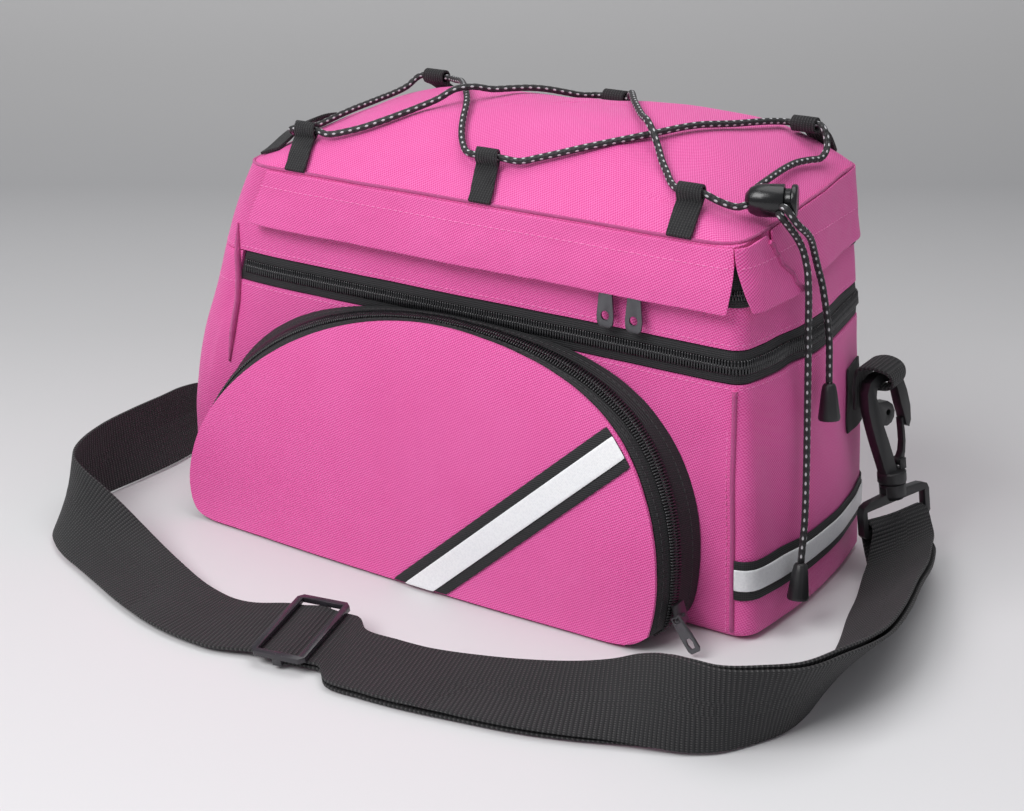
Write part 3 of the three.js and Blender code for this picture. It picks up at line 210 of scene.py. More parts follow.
def soft(node, levels=2, crease=0.65, move=True, sharp=42, fine=0.0):
    """A smooth copy of a cloth node: its triangles paired, subdivided, then settled."""
    bm = clean(node)
    bm.edges.index_update()
    pair_up(bm)
    layer = bm.edges.layers.float.get("crease_edge") or bm.edges.layers.float.new("crease_edge")
    for e in bm.edges:
        if len(e.link_faces) == 2 and e.calc_face_angle(0) > math.radians(sharp):
            e[layer] = crease
    o = new_object(node + "_cloth", bm)
    m = o.modifiers.new("smooth", "SUBSURF")
    m.levels = m.render_levels = levels
    apply_modifiers(o)
    if move:
        for v in o.data.vertices:
            v.co += settle(v.co)
    if fine:
        moves = [(v.co.copy(), v.normal.copy()) for v in o.data.vertices]
        for v, (co, n) in zip(o.data.vertices, moves):
            v.co = co + n * fine * noise.noise(co * 120)
    smooth_shade(o, math.radians(50))
    box_uv(o)
    return o


def box_uv(o, scale=1.0):
    """UVs in metres, from the side that each face looks to."""
    uv = o.data.uv_layers.get("UVMap") or o.data.uv_layers.new(name="UVMap")
    for p in o.data.polygons:
        n = p.normal
        a = (abs(n.x), abs(n.y), abs(n.z))
        k = a.index(max(a))
        for li in p.loop_indices:
            c = o.data.vertices[o.data.loops[li].vertex_index].co
            uv.data[li].uv = ((c.y, c.z), (c.x, c.z), (c.x, c.y))[k]


def hard(node, bevel=0.35, slot="black_plastic", material=None, segments=2, angle=25, name=None):
    """A detailed copy of a moulded node: flat faces joined, edges rounded."""
    bm = clean(node)
    bmesh.ops.dissolve_limit(bm, angle_limit=math.radians(1.5), verts=bm.verts, edges=bm.edges, delimit=set())
    o = new_object(name or node + "_part", bm)
    m = o.modifiers.new("bevel", "BEVEL")
    m.width = bevel * MM
    m.segments = segments
    m.limit_method = "ANGLE"
    m.angle_limit = math.radians(angle)
    m.use_clamp_overlap = True
    m.harden_normals = False
    apply_modifiers(o)
    smooth_shade(o, math.radians(38))
    box_uv(o)
    return piece(o, BODY[node], slot, material, node)


def resample(points, step, closed=False):
    """Points of a polyline at about an even step."""
    p = np.array([tuple(q) for q in points], float)
    if closed:
        p = np.vstack([p, p[:1]])
    d = np.r_[0, np.cumsum(np.linalg.norm(np.diff(p, axis=0), axis=1))]
    n = max(2, int(round(d[-1] / step)) + 1)
    s = np.linspace(0, d[-1], n)
    out = np.stack([np.interp(s, d, p[:, k]) for k in range(3)], 1)
    return [V(q) for q in (out[:-1] if closed else out)]


def curve_points(points, step):
    """A smooth line through points."""
    P = [V(p) for p in points]
    P = [P[0] * 2 - P[1]] + P + [P[-1] * 2 - P[-2]]
    out = []
    for i in range(1, len(P) - 2):
        a, b, c, d = P[i - 1], P[i], P[i + 1], P[i + 2]
        for k in range(8):
            t = k / 8
            out.append(0.5 * ((2 * b) + (c - a) * t + (2 * a - 5 * b + 4 * c - d) * t * t + (3 * b - a - 3 * c + d) * t ** 3))
    out.append(P[-2])
    return resample(out, step)


def frames(points, closed=False):
    """Tangents of a polyline."""
    n = len(points)
    out = []
    for i in range(n):
        a = points[(i - 1) % n] if closed or i else points[0]
        b = points[(i + 1) % n] if closed or i < n - 1 else points[-1]
        out.append((b - a).normalized())
    return out


def tube(name, points, radius, sides=12, closed=False, taper=None):
    """A round tube along points, with UVs in metres: along, around."""
    bm = bmesh.new()
    uv = bm.loops.layers.uv.new("UVMap")
    T = frames(points, closed)
    ref = V((0, 0, 1)) if abs(T[0].z) < 0.9 else V((1, 0, 0))
    n = (ref - T[0] * ref.dot(T[0])).normalized()
    rings, along = [], [0.0]
    for i, p in enumerate(points):
        n = (n - T[i] * n.dot(T[i])).normalized()
        b = T[i].cross(n)
        r = radius * (taper(i / (len(points) - 1)) if taper else 1)
        rings.append([bm.verts.new(p + (n * math.cos(a) + b * math.sin(a)) * r) for a in np.linspace(0, 2 * math.pi, sides, endpoint=False)])
        if i:
            along.append(along[-1] + (p - points[i - 1]).length)
    pairs = list(zip(range(len(points) - 1), range(1, len(points))))
    if closed:
        pairs.append((len(points) - 1, 0))
    for i, j in pairs:
        s0, s1 = along[i], along[j] if j else along[i] + (points[0] - points[i]).length
        for k in range(sides):
            l = (k + 1) % sides
            f = bm.faces.new((rings[i][k], rings[i][l], rings[j][l], rings[j][k]))
            for loop, q in zip(f.loops, ((s0, k), (s0, k + 1), (s1, k + 1), (s1, k))):
                loop[uv].uv = (q[0], q[1] / sides)
            f.smooth = True
    if not closed:
        bm.faces.new(list(reversed(rings[0])))
        bm.faces.new(rings[-1])
    return new_object(name, bm)


def bars(name, places, shape):
    """Many small pieces in one mesh. places: (point, along, out); shape: rings of (along, across, out)."""
    verts, faces = [], []
    n = len(shape[0])
    for p, t, up in places:
        t = t.normalized()
        up = (up - t * up.dot(t)).normalized()
        s = up.cross(t)
        base = len(verts)
        for ring in shape:
            for a, c, h in ring:
                verts.append(p + t * a + s * c + up * h)
        for r in range(len(shape) - 1):
            for k in range(n):
                l = (k + 1) % n
                faces.append((base + r * n + k, base + r * n + l, base + (r + 1) * n + l, base + (r + 1) * n + k))
        faces.append(tuple(base + k for k in reversed(range(n))))
        faces.append(tuple(base + (len(shape) - 1) * n + k for k in range(n)))
    mesh = bpy.data.meshes.new(name)
    mesh.from_pydata(verts, [], faces)
    o = bpy.data.objects.new(name, mesh)
    bpy.context.scene.collection.objects.link(o)
    bm = bmesh.new()
    bm.from_mesh(mesh)
    bmesh.ops.recalc_face_normals(bm, faces=bm.faces)
    bm.to_mesh(mesh)
    bm.free()
    for q in o.data.polygons:
        q.use_smooth = True
    box_uv(o)
    return o


def stitch_shape(length=2.4, width=0.6, height=0.34, sink=0.12):
    L, w, h, s = length * MM, width * MM / 2, height * MM, sink * MM
    out = []
    for a, k in ((-0.5, 0.35), (-0.36, 0.85), (0, 1), (0.36, 0.85), (0.5, 0.35)):
        drop = (1 - k) * h * 0.9
        out.append([(a * L, -w * k, -s), (a * L, -w * 0.7 * k, h * 0.7 - drop), (a * L, 0, h - drop), (a * L, w * 0.7 * k, h * 0.7 - drop), (a * L, w * k, -s)])
    return out


def stitches(name, line, pitch=3.7, closed=False, shape=None, lift=0.0):
    """line: list of (point, outward normal)."""
    pts = [p for p, _ in line]
    res = resample(pts, pitch * MM, closed)
    T = frames(res, closed)
    P = np.array([tuple(p) for p in pts])
    places = []
    for q, t in zip(res, T):
        i = int(np.argmin(((P - np.array(q)) ** 2).sum(1)))
        places.append((q + line[i][1] * lift, t, line[i][1]))
    return bars(name, places, shape or stitch_shape())


def tree(*objects):
    """One search tree over several meshes in the bag's frame."""
    verts, faces = [], []
    for o in objects:
        base = len(verts)
        verts += [v.co.copy() for v in o.data.vertices]
        faces += [tuple(base + i for i in p.vertices) for p in o.data.polygons]
    return BVHTree.FromPolygons(verts, faces)


# Path round the bag that rays start from: a rounded rectangle inside it.
LEFT_X, RIGHT_X, HALF_Y = -0.140, 0.150, 0.042


def perimeter(step=0.003):
    """(inner point, outward direction) along front, right end, back and left end."""
    out = []
    for x in np.arange(LEFT_X, RIGHT_X, step):
        out.append((V((x, -HALF_Y, 0)), V((0, -1, 0)), "front"))
    for a in np.linspace(-90, 0, 14)[:-1]:
        out.append((V((RIGHT_X, -HALF_Y, 0)), V((math.cos(math.radians(a)), math.sin(math.radians(a)), 0)), "corner_right"))
    for y in np.arange(-HALF_Y, HALF_Y, step):
        out.append((V((RIGHT_X, y, 0)), V((1, 0, 0)), "right"))
    for a in np.linspace(0, 90, 14)[:-1]:
        out.append((V((RIGHT_X, HALF_Y, 0)), V((math.cos(math.radians(a)), math.sin(math.radians(a)), 0)), "corner_back_right"))
    for x in np.arange(RIGHT_X, LEFT_X, -step):
        out.append((V((x, HALF_Y, 0)), V((0, 1, 0)), "back"))
    for a in np.linspace(90, 180, 14)[:-1]:
        out.append((V((LEFT_X, HALF_Y, 0)), V((math.cos(math.radians(a)), math.sin(math.radians(a)), 0)), "corner_back_left"))
    for y in np.arange(HALF_Y, -HALF_Y, -step):
        out.append((V((LEFT_X, y, 0)), V((-1, 0, 0)), "left"))
    for a in np.linspace(180, 270, 14)[:-1]:
        out.append((V((LEFT_X, -HALF_Y, 0)), V((math.cos(math.radians(a)), math.sin(math.radians(a)), 0)), "corner_left"))
    return out


def trace(bvh, height, wanted=None, keep=None):
    """Runs of surface points at a height (a number or a function of the inner point); a miss ends a run."""
    runs, run = [], []
    for at, d, side in perimeter():
        z = height(at, d) if callable(height) else height
        hit = None
        if wanted is None or side in wanted:
            origin = V((at.x, at.y, z)) + d * 0.4
            hit = bvh.ray_cast(origin, -d, 0.4)
            if hit[0] is not None and keep is not None and not keep(hit[0]):
                hit = None
        if hit and hit[0] is not None:
            n = hit[1] if hit[1].dot(d) > 0 else -hit[1]
            run.append((hit[0], n))
        elif run:
            runs.append(run)
            run = []
    if run:
        runs.append(run)
    return [r for r in runs if len(r) > 3]


def rings_of(node, start, sides):
    """Cross-sections of a swept CAD solid, walked from the end nearest to start."""
    bm = clean(node)
    bm.verts.ensure_lookup_table()
    seed = sorted(bm.verts, key=lambda v: (v.co - V(start)).length)[:sides]
    seen, rings, now = set(), [], seed
    while now and len(now) == sides:
        rings.append([v.co.copy() for v in now])
        seen |= {v.index for v in now}
        nxt = {}
        for v in now:
            for e in v.link_edges:
                w = e.other_vert(v)
                if w.index not in seen:
                    nxt[w.index] = w
        now = list(nxt.values())
    bm.free()
    return rings


def centre(ring):
    c = V((0, 0, 0))
    for p in ring:
        c += p
    return c / len(ring)


# ---------------------------------------------------------------- materials
def material(name):
    m = bpy.data.materials.new(name)
    m.use_nodes = True
    t = m.node_tree
    bsdf = t.nodes["Principled BSDF"]
    return m, t, bsdf


def node(t, kind, **inputs):
    n = t.nodes.new(kind)
    for k, v in inputs.items():
        if k in ("operation", "blend_type", "data_type", "noise_dimensions", "feature"):
            setattr(n, k, v)
    return n


def math_node(t, op, a, b=None, c=None, clamp=False):
    n = t.nodes.new("ShaderNodeMath")
    n.operation = op
    n.use_clamp = clamp
    for i, v in enumerate((a, b, c)):
        if v is None:
            continue
        if isinstance(v, (int, float)):
            n.inputs[i].default_value = v
        else:
            t.links.new(v, n.inputs[i])
    return n.outputs[0]


def mix_color(t, fac, a, b):
    n = t.nodes.new("ShaderNodeMix")
    n.data_type = "RGBA"
    for i, v in ((0, fac), (6, a), (7, b)):
        if isinstance(v, (int, float)):
            n.inputs[i].default_value = v
        elif isinstance(v, tuple):
            n.inputs[i].default_value = (*v, 1) if len(v) == 3 else v
        else:
            t.links.new(v, n.inputs[i])
    return n.outputs[2]


def ramp(t, fac, stops):
    n = t.nodes.new("ShaderNodeValToRGB")
    e = n.color_ramp.elements
    while len(e) < len(stops):
        e.new(0.5)
    for s, (p, c) in zip(e, stops):
        s.position = p
        s.color = (c, c, c, 1) if isinstance(c, (int, float)) else (*c, 1)
    t.links.new(fac, n.inputs[0])
    return n.outputs[0]


def map_range(t, value, a, b, c, d):
    n = t.nodes.new("ShaderNodeMapRange")
    t.links.new(value, n.inputs[0])
    for i, v in enumerate((a, b, c, d)):
        n.inputs[i + 1].default_value = v
    return n.outputs[0]


def uv_parts(t):
    uv = t.nodes.new("ShaderNodeUVMap")
    uv.uv_map = "UVMap"
    s = t.nodes.new("ShaderNodeSeparateXYZ")
    t.links.new(uv.outputs[0], s.inputs[0])
    return uv.outputs[0], s.outputs[0], s.outputs[1]


def object_noise(t, scale, detail=3.0, roughness=0.55, offset=(0, 0, 0)):
    c = t.nodes.new("ShaderNodeTexCoord")
    m = t.nodes.new("ShaderNodeMapping")
    m.inputs["Location"].default_value = offset
    t.links.new(c.outputs["Object"], m.inputs[0])
    n = t.nodes.new("ShaderNodeTexNoise")
    n.inputs["Scale"].default_value = scale
    n.inputs["Detail"].default_value = detail
    n.inputs["Roughness"].default_value = roughness
    t.links.new(m.outputs[0], n.inputs["Vector"])
    return n.outputs[0]


def bump(t, bsdf, height, distance, strength=1.0):
    n = t.nodes.new("ShaderNodeBump")
    n.inputs["Strength"].default_value = strength
    n.inputs["Distance"].default_value = distance
    t.links.new(height, n.inputs["Height"])
    t.links.new(n.outputs[0], bsdf.inputs["Normal"])
    return n


def wave(t, value, period, phase=0.0):
    """0 to 1 along a coordinate in metres."""
    a = math_node(t, "MULTIPLY_ADD", value, 2 * math.pi / period, phase)
    return math_node(t, "MULTIPLY_ADD", math_node(t, "SINE", a), 0.5, 0.5)


def pink_cloth(name="pink_weave"):
    """Coated plain weave: light threads both ways over a deeper ground."""
    m, t, b = material(name)
    _, u, v = uv_parts(t)
    wob = math_node(t, "MULTIPLY_ADD", object_noise(t, 260, 2), 0.0005, -0.00025)
    slant = math_node(t, "ADD", math_node(t, "ADD", math_node(t, "MULTIPLY", u, -0.50), math_node(t, "MULTIPLY", v, 0.86)), wob)
    cross = math_node(t, "ADD", math_node(t, "ADD", math_node(t, "MULTIPLY", u, 0.86), math_node(t, "MULTIPLY", v, 0.50)), wob)
    rib = wave(t, slant, 0.00118)
    thread = wave(t, cross, 0.00108)
    weave = math_node(t, "MULTIPLY_ADD", thread, 0.46, math_node(t, "MULTIPLY", rib, 0.54))
    tone = object_noise(t, 24, 4, 0.6)
    fleck = object_noise(t, 900, 2, 0.5)
    light = mix_color(t, tone, (0.90, 0.150, 0.465), (0.96, 0.215, 0.560))
    dark = mix_color(t, tone, (0.68, 0.034, 0.260), (0.76, 0.052, 0.315))
    fac = ramp(t, weave, [(0.20, 0.0), (0.80, 1.0)])
    col = mix_color(t, fac, dark, light)
    col = mix_color(t, map_range(t, fleck, 0.60, 0.85, 0.0, 0.20), col, (0.97, 0.34, 0.66))
    t.links.new(col, b.inputs["Base Color"])
    t.links.new(map_range(t, weave, 0, 1, 0.66, 0.46), b.inputs["Roughness"])
    b.inputs["Sheen Weight"].default_value = 0.22
    b.inputs["Sheen Roughness"].default_value = 0.40
    b.inputs["Sheen Tint"].default_value = (0.90, 0.82, 1.0, 1)
    b.inputs["Specular IOR Level"].default_value = 0.48
    h = math_node(t, "MULTIPLY_ADD", object_noise(t, 60, 3), 0.30, weave)
    bump(t, b, h, 0.00034, 0.8)
    return m


def rib_webbing(name, along_period=0.0022, dot_period=0.00115, ground=(0.009, 0.009, 0.010), dot=(0.072, 0.069, 0.070), amount=0.75):
    """Webbing with ribs across it and a light thread on each."""
    m, t, b = material(name)
    _, u, v = uv_parts(t)
    wob = math_node(t, "MULTIPLY_ADD", object_noise(t, 90, 2), 0.0005, -0.00025)
    ub = math_node(t, "ADD", u, wob)
    rib = wave(t, ub, along_period)
    shift = math_node(t, "MULTIPLY", math_node(t, "SINE", math_node(t, "MULTIPLY", u, math.pi / along_period)), 1.5)
    dots = math_node(t, "MULTIPLY_ADD", math_node(t, "SINE", math_node(t, "MULTIPLY_ADD", v, 2 * math.pi / dot_period, 0.0)), 0.5, 0.5)
    fine = wave(t, v, dot_period * 0.5)
    spot = math_node(t, "MULTIPLY", ramp(t, rib, [(0.45, 0.0), (0.85, 1.0)]), ramp(t, dots, [(0.35, 0.0), (0.75, 1.0)]))
    grime = object_noise(t, 40, 4)
    base = mix_color(t, grime, ground, tuple(c * 1.9 for c in ground))
    col = mix_color(t, math_node(t, "MULTIPLY", spot, amount), base, dot)
    t.links.new(col, b.inputs["Base Color"])
    t.links.new(map_range(t, spot, 0, 1, 0.78, 0.52), b.inputs["Roughness"])
    b.inputs["Sheen Weight"].default_value = 0.05
    b.inputs["Sheen Roughness"].default_value = 0.5
    h = math_node(t, "MULTIPLY_ADD", spot, 0.6, math_node(t, "MULTIPLY", rib, 0.8))
    h = math_node(t, "MULTIPLY_ADD", fine, 0.12, h)
    bump(t, b, h, 0.0006, 0.9)
    return m


def tape_cloth(name="tape_weave"):
    """Fine black tape: narrow ribs with a soft sheen."""
    m, t, b = material(name)
    _, u, v = uv_parts(t)
    rib = wave(t, v, 0.00105)
    thread = wave(t, u, 0.00080)
    w = math_node(t, "MULTIPLY_ADD", thread, 0.4, math_node(t, "MULTIPLY", rib, 0.6))
    tone = object_noise(t, 30, 4)
    col = mix_color(t, math_node(t, "MULTIPLY", w, 0.8), (0.005, 0.005, 0.006), mix_color(t, tone, (0.018, 0.018, 0.020), (0.030, 0.030, 0.033)))
    t.links.new(col, b.inputs["Base Color"])
    t.links.new(map_range(t, w, 0, 1, 0.75, 0.5), b.inputs["Roughness"])
    b.inputs["Sheen Weight"].default_value = 0.04
    bump(t, b, w, 0.0003, 0.8)
    return m


def reflector(name="reflector_film"):
    """Silver film over a fine cloth, with tiny cells."""
    m, t, b = material(name)
    uv, u, v = uv_parts(t)
    cells = t.nodes.new("ShaderNodeTexVoronoi")
    cells.inputs["Scale"].default_value = 900
    t.links.new(uv, cells.inputs["Vector"])
    tone = object_noise(t, 30, 5, 0.6)
    col = mix_color(t, tone, (0.95, 0.965, 1.0), (1.0, 1.0, 1.0))
    col = mix_color(t, map_range(t, cells.outputs["Distance"], 0.0, 0.7, 0.25, 0.0), col, (0.66, 0.68, 0.74))
    t.links.new(col, b.inputs["Base Color"])
    b.inputs["Metallic"].default_value = 0.15
    t.links.new(map_range(t, tone, 0.2, 0.8, 0.30, 0.48), b.inputs["Roughness"])
    b.inputs["Coat Weight"].default_value = 0.2
    h = math_node(t, "MULTIPLY_ADD", wave(t, math_node(t, "ADD", u, v), 0.0012), 0.4, cells.outputs["Distance"])
    bump(t, b, h, 0.00016, 0.6)
    return m


def braid(name="cord_braid"):
    """Braided cover: crossing strands with a light tracer."""
    m, t, b = material(name)
    _, u, v = uv_parts(t)
    a1 = math_node(t, "SINE", math_node(t, "ADD", math_node(t, "MULTIPLY", u, 2 * math.pi / 0.0046), math_node(t, "MULTIPLY", v, 2 * math.pi * 4)))
    a2 = math_node(t, "SINE", math_node(t, "SUBTRACT", math_node(t, "MULTIPLY", u, 2 * math.pi / 0.0046), math_node(t, "MULTIPLY", v, 2 * math.pi * 4)))
    strands = math_node(t, "MULTIPLY_ADD", math_node(t, "MULTIPLY", a1, a2), 0.5, 0.5)
    t1 = math_node(t, "SINE", math_node(t, "ADD", math_node(t, "MULTIPLY", u, 2 * math.pi / 0.0092), math_node(t, "MULTIPLY", v, 2 * math.pi * 2)))
    t2 = math_node(t, "SINE", math_node(t, "SUBTRACT", math_node(t, "MULTIPLY", u, 2 * math.pi / 0.0092), math_node(t, "MULTIPLY", v, 2 * math.pi * 2)))
    tracer = ramp(t, math_node(t, "MULTIPLY", t1, t2), [(0.58, 0.0), (0.70, 1.0)])
    tone = object_noise(t, 60, 3)
    base = mix_color(t, strands, (0.010, 0.010, 0.011), mix_color(t, tone, (0.020, 0.020, 0.022), (0.036, 0.036, 0.039)))
    col = mix_color(t, tracer, base, (0.55, 0.55, 0.57))
    t.links.new(col, b.inputs["Base Color"])
    t.links.new(map_range(t, strands, 0, 1, 0.72, 0.48), b.inputs["Roughness"])
    b.inputs["Sheen Weight"].default_value = 0.05
    bump(t, b, strands, 0.00035, 0.9)
    return m


def plastic(name="moulded_plastic", base=(0.009, 0.009, 0.010), light=(0.021, 0.021, 0.023), rough=(0.32, 0.50)):
    """Black moulding: fine texture, faint streaks and scuffs."""
    m, t, b = material(name)
    tone = object_noise(t, 70, 5, 0.65)
    grain = object_noise(t, 1900, 2)
    scuff = object_noise(t, 330, 6, 0.7, (2, 5, 1))
    col = mix_color(t, tone, base, light)
    col = mix_color(t, map_range(t, scuff, 0.62, 0.8, 0.0, 0.25), col, (0.09, 0.09, 0.10))
    t.links.new(col, b.inputs["Base Color"])
    t.links.new(map_range(t, tone, 0.25, 0.75, *rough), b.inputs["Roughness"])
    b.inputs["Specular IOR Level"].default_value = 0.55
    h = math_node(t, "MULTIPLY_ADD", scuff, 0.4, grain)
    bump(t, b, h, 0.00006, 0.5)
    return m


def gunmetal(name="gunmetal"):
    m, t, b = material(name)
    tone = object_noise(t, 120, 5, 0.6)
    scratch = object_noise(t, 900, 8, 0.75)
    col = mix_color(t, tone, (0.090, 0.090, 0.096), (0.16, 0.16, 0.17))
    col = mix_color(t, map_range(t, scratch, 0.58, 0.75, 0.0, 0.6), col, (0.32, 0.32, 0.33))
    t.links.new(col, b.inputs["Base Color"])
    b.inputs["Metallic"].default_value = 0.85
    t.links.new(map_range(t, scratch, 0.3, 0.7, 0.26, 0.42), b.inputs["Roughness"])
    bump(t, b, scratch, 0.00008, 0.5)
    return m


def coil_nylon(name="zip_coil"):
    m, t, b = material(name)
    tone = object_noise(t, 500, 3)
    t.links.new(mix_color(t, tone, (0.010, 0.010, 0.011), (0.028, 0.028, 0.031)), b.inputs["Base Color"])
    t.links.new(map_range(t, tone, 0.2, 0.8, 0.16, 0.30), b.inputs["Roughness"])
    b.inputs["Specular IOR Level"].default_value = 0.7
    bump(t, b, tone, 0.00005, 0.4)
    return m


def thread(name, low, high):
    m, t, b = material(name)
    tone = object_noise(t, 900, 3)
    t.links.new(mix_color(t, tone, low, high), b.inputs["Base Color"])
    t.links.new(map_range(t, tone, 0.2, 0.8, 0.45, 0.7), b.inputs["Roughness"])
    b.inputs["Sheen Weight"].default_value = 0.25
    bump(t, b, tone, 0.00008, 0.6)
    return m


def stage_material():
    m, t, b = material("pale_floor")
    tone = object_noise(t, 1.2, 3)
    c = t.nodes.new("ShaderNodeTexCoord")
    s = t.nodes.new("ShaderNodeSeparateXYZ")
    t.links.new(c.outputs["Object"], s.inputs[0])
    depth = math_node(t, "ADD", math_node(t, "MULTIPLY", s.outputs[0], -0.5476), math_node(t, "MULTIPLY", s.outputs[1], 0.8367))
    # Painted shade: the floor's colour runs from pale near the bag to a grey band where the floor curves up, then pale
    # again up the backdrop, standing in for how the light falls off.
    floor_painted_shade = ramp(t, map_range(t, depth, -0.4, 2.0, 0.0, 1.0), [(0.0, (0.76, 0.755, 0.77)), (0.16, (0.66, 0.655, 0.665)), (0.30, (0.50, 0.498, 0.505)), (0.48, (0.37, 0.37, 0.378)), (0.70, (0.50, 0.498, 0.50)), (1.0, (0.74, 0.735, 0.74))])
    t.links.new(mix_color(t, map_range(t, tone, 0.0, 1.0, 0.0, 0.04), floor_painted_shade, (0.9, 0.9, 0.9)), b.inputs["Base Color"])
    b.inputs["Roughness"].default_value = 0.75
    b.inputs["Specular IOR Level"].default_value = 0.2
    return m


place_camera()
build_stage()

PINK = pink_cloth()
WEBBING = rib_webbing("strap_webbing")
LOOP_WEB = rib_webbing("loop_webbing", 0.0016, 0.0010, amount=0.35)
TAPE = tape_cloth()
SILVER = reflector()
BRAID = braid()
PLASTIC = plastic()
BUCKLE_PLASTIC = plastic("buckle_plastic", (0.020, 0.018, 0.022), (0.040, 0.036, 0.044), (0.16, 0.30))
LOCK_PLASTIC = plastic("lock_plastic", (0.005, 0.005, 0.006), (0.012, 0.012, 0.013), (0.18, 0.32))
METAL = gunmetal()
COIL = coil_nylon()
PINK_THREAD = thread("pink_thread", (0.86, 0.14, 0.46), (0.95, 0.30, 0.62))
BLACK_THREAD = thread("black_thread", (0.012, 0.012, 0.013), (0.04, 0.04, 0.043))

# ---------------------------------------------------------------- cords: they come first
LOCK = V((169.6, -39.3, 217.2)) * MM
TAILS = {"cord_tail_long": ((180.4, -45.6, 211.6), "bell_end_long"), "cord_tail_short": ((182.9, -46.6, 216.2), "bell_end_short")}
for name, (start, bell) in TAILS.items():
    line = [centre(r) for r in rings_of(name, V(start) * MM, 8)]
    line.insert(0, line[0].lerp(LOCK, 0.22))
    pts = curve_points(line, 0.0025)
    o = tube(name + "_braid", pts, 1.75 * MM, 14)
    piece(o, "bag", "black_cord", BRAID, name)
    end = hard(bell, 0.3, "black_plastic", PLASTIC, name=bell + "_part")

line = [centre(r) for r in rings_of("lacing_cord", V((158.6, -49.3, 214.4)) * MM, 8)]
line = [line[0].lerp(LOCK, 0.40)] + line + [line[-1].lerp(LOCK, 0.40)]
lace_pts = curve_points(line, 0.0025)
lace = tube("lacing_cord_braid", lace_pts, 1.75 * MM, 14)
piece(lace, "bag", "black_cord", BRAID, "lacing_cord")

# ---------------------------------------------------------------- body, lid and what is sewn on them
body = piece(soft("body_shell", 2), "bag", "pink_cloth", PINK, "body_shell")
lid = piece(soft("lid_shell", 2), "bag", "pink_cloth", PINK, "lid_shell")
band = piece(soft("main_zip_band", 2), "bag", "zip_tape", TAPE, "main_zip_band")
tape = piece(soft("lid_zip_tape", 1), "bag", "zip_tape", TAPE, "lid_zip_tape")
flaps = {}
for f in ("front", "corner", "right", "back"):
    n = "storm_flap_" + f
    flaps[f] = piece(soft(n, 3, fine=0.00025), "bag", "pink_cloth", PINK, n)
# the front flap stands a little proud over the two pull tabs
for v in flaps["front"].data.vertices:
    k = math.exp(-(((v.co.x - 0.1115) / 0.022) ** 4)) * min(1.0, max(0.0, (0.194 - v.co.z) / 0.012))
    v.co.y -= 0.0012 * k
for n in ("end_patch_right", "end_patch_left"):
    piece(soft(n, 2), "bag", "black_webbing", LOOP_WEB, n)
piece(soft("end_stripe_edge", 2), "bag", "zip_tape", TAPE, "end_stripe_edge")
piece(soft("end_stripe", 2), "bag", "silver_reflector", SILVER, "end_stripe")
piece(soft("end_strip", 2, move=False), "bag", "black_webbing", LOOP_WEB, "end_strip")
for n in NODES:
    if n.startswith("cord_loop_"):
        piece(soft(n, 1, crease=0.8, move=False), "bag", "black_webbing", LOOP_WEB, n)
for n in ("hook_carrier_right", "hook_carrier_left"):
    piece(soft(n, 2, crease=0.8, move=False), "bag", "black_webbing", WEBBING, n)

# ---------------------------------------------------------------- pocket
for n in ("pocket_face", "pocket_floor"):
    o = piece(soft(n, 2, move=False), "bag", "pink_cloth", PINK, n)
    if n == "pocket_face":
        pocket_face = o
gusset = piece(soft("pocket_zip_gusset", 2, move=False), "bag", "zip_tape", TAPE, "pocket_zip_gusset")
piece(soft("pocket_stripe_edge", 2, move=False), "bag", "zip_tape", TAPE, "pocket_stripe_edge")
piece(soft("pocket_stripe", 2, move=False), "bag", "silver_reflector", SILVER, "pocket_stripe")

# ---------------------------------------------------------------- hard pieces
for side in ("right", "left"):
    hard("hook_body_" + side, 0.7, "black_plastic", PLASTIC)
    hard("hook_gate_" + side, 0.4, "black_plastic", PLASTIC)
    hard("swivel_base_" + side, 0.6, "black_plastic", PLASTIC)
    hard("lid_slider_" + side, 0.3, "dark_metal", METAL)
    hard("lid_pull_tab_" + side, 0.3, "dark_metal", METAL)
hard("pocket_slider", 0.3, "dark_metal", METAL)
hard("pocket_pull_tab", 0.3, "dark_metal", METAL)
hard("cord_lock_barrel", 0.6, "black_plastic", LOCK_PLASTIC)
hard("cord_lock_plunger", 0.5, "black_plastic", LOCK_PLASTIC)
hard("strap_buckle", 0.6, "black_plastic", BUCKLE_PLASTIC)


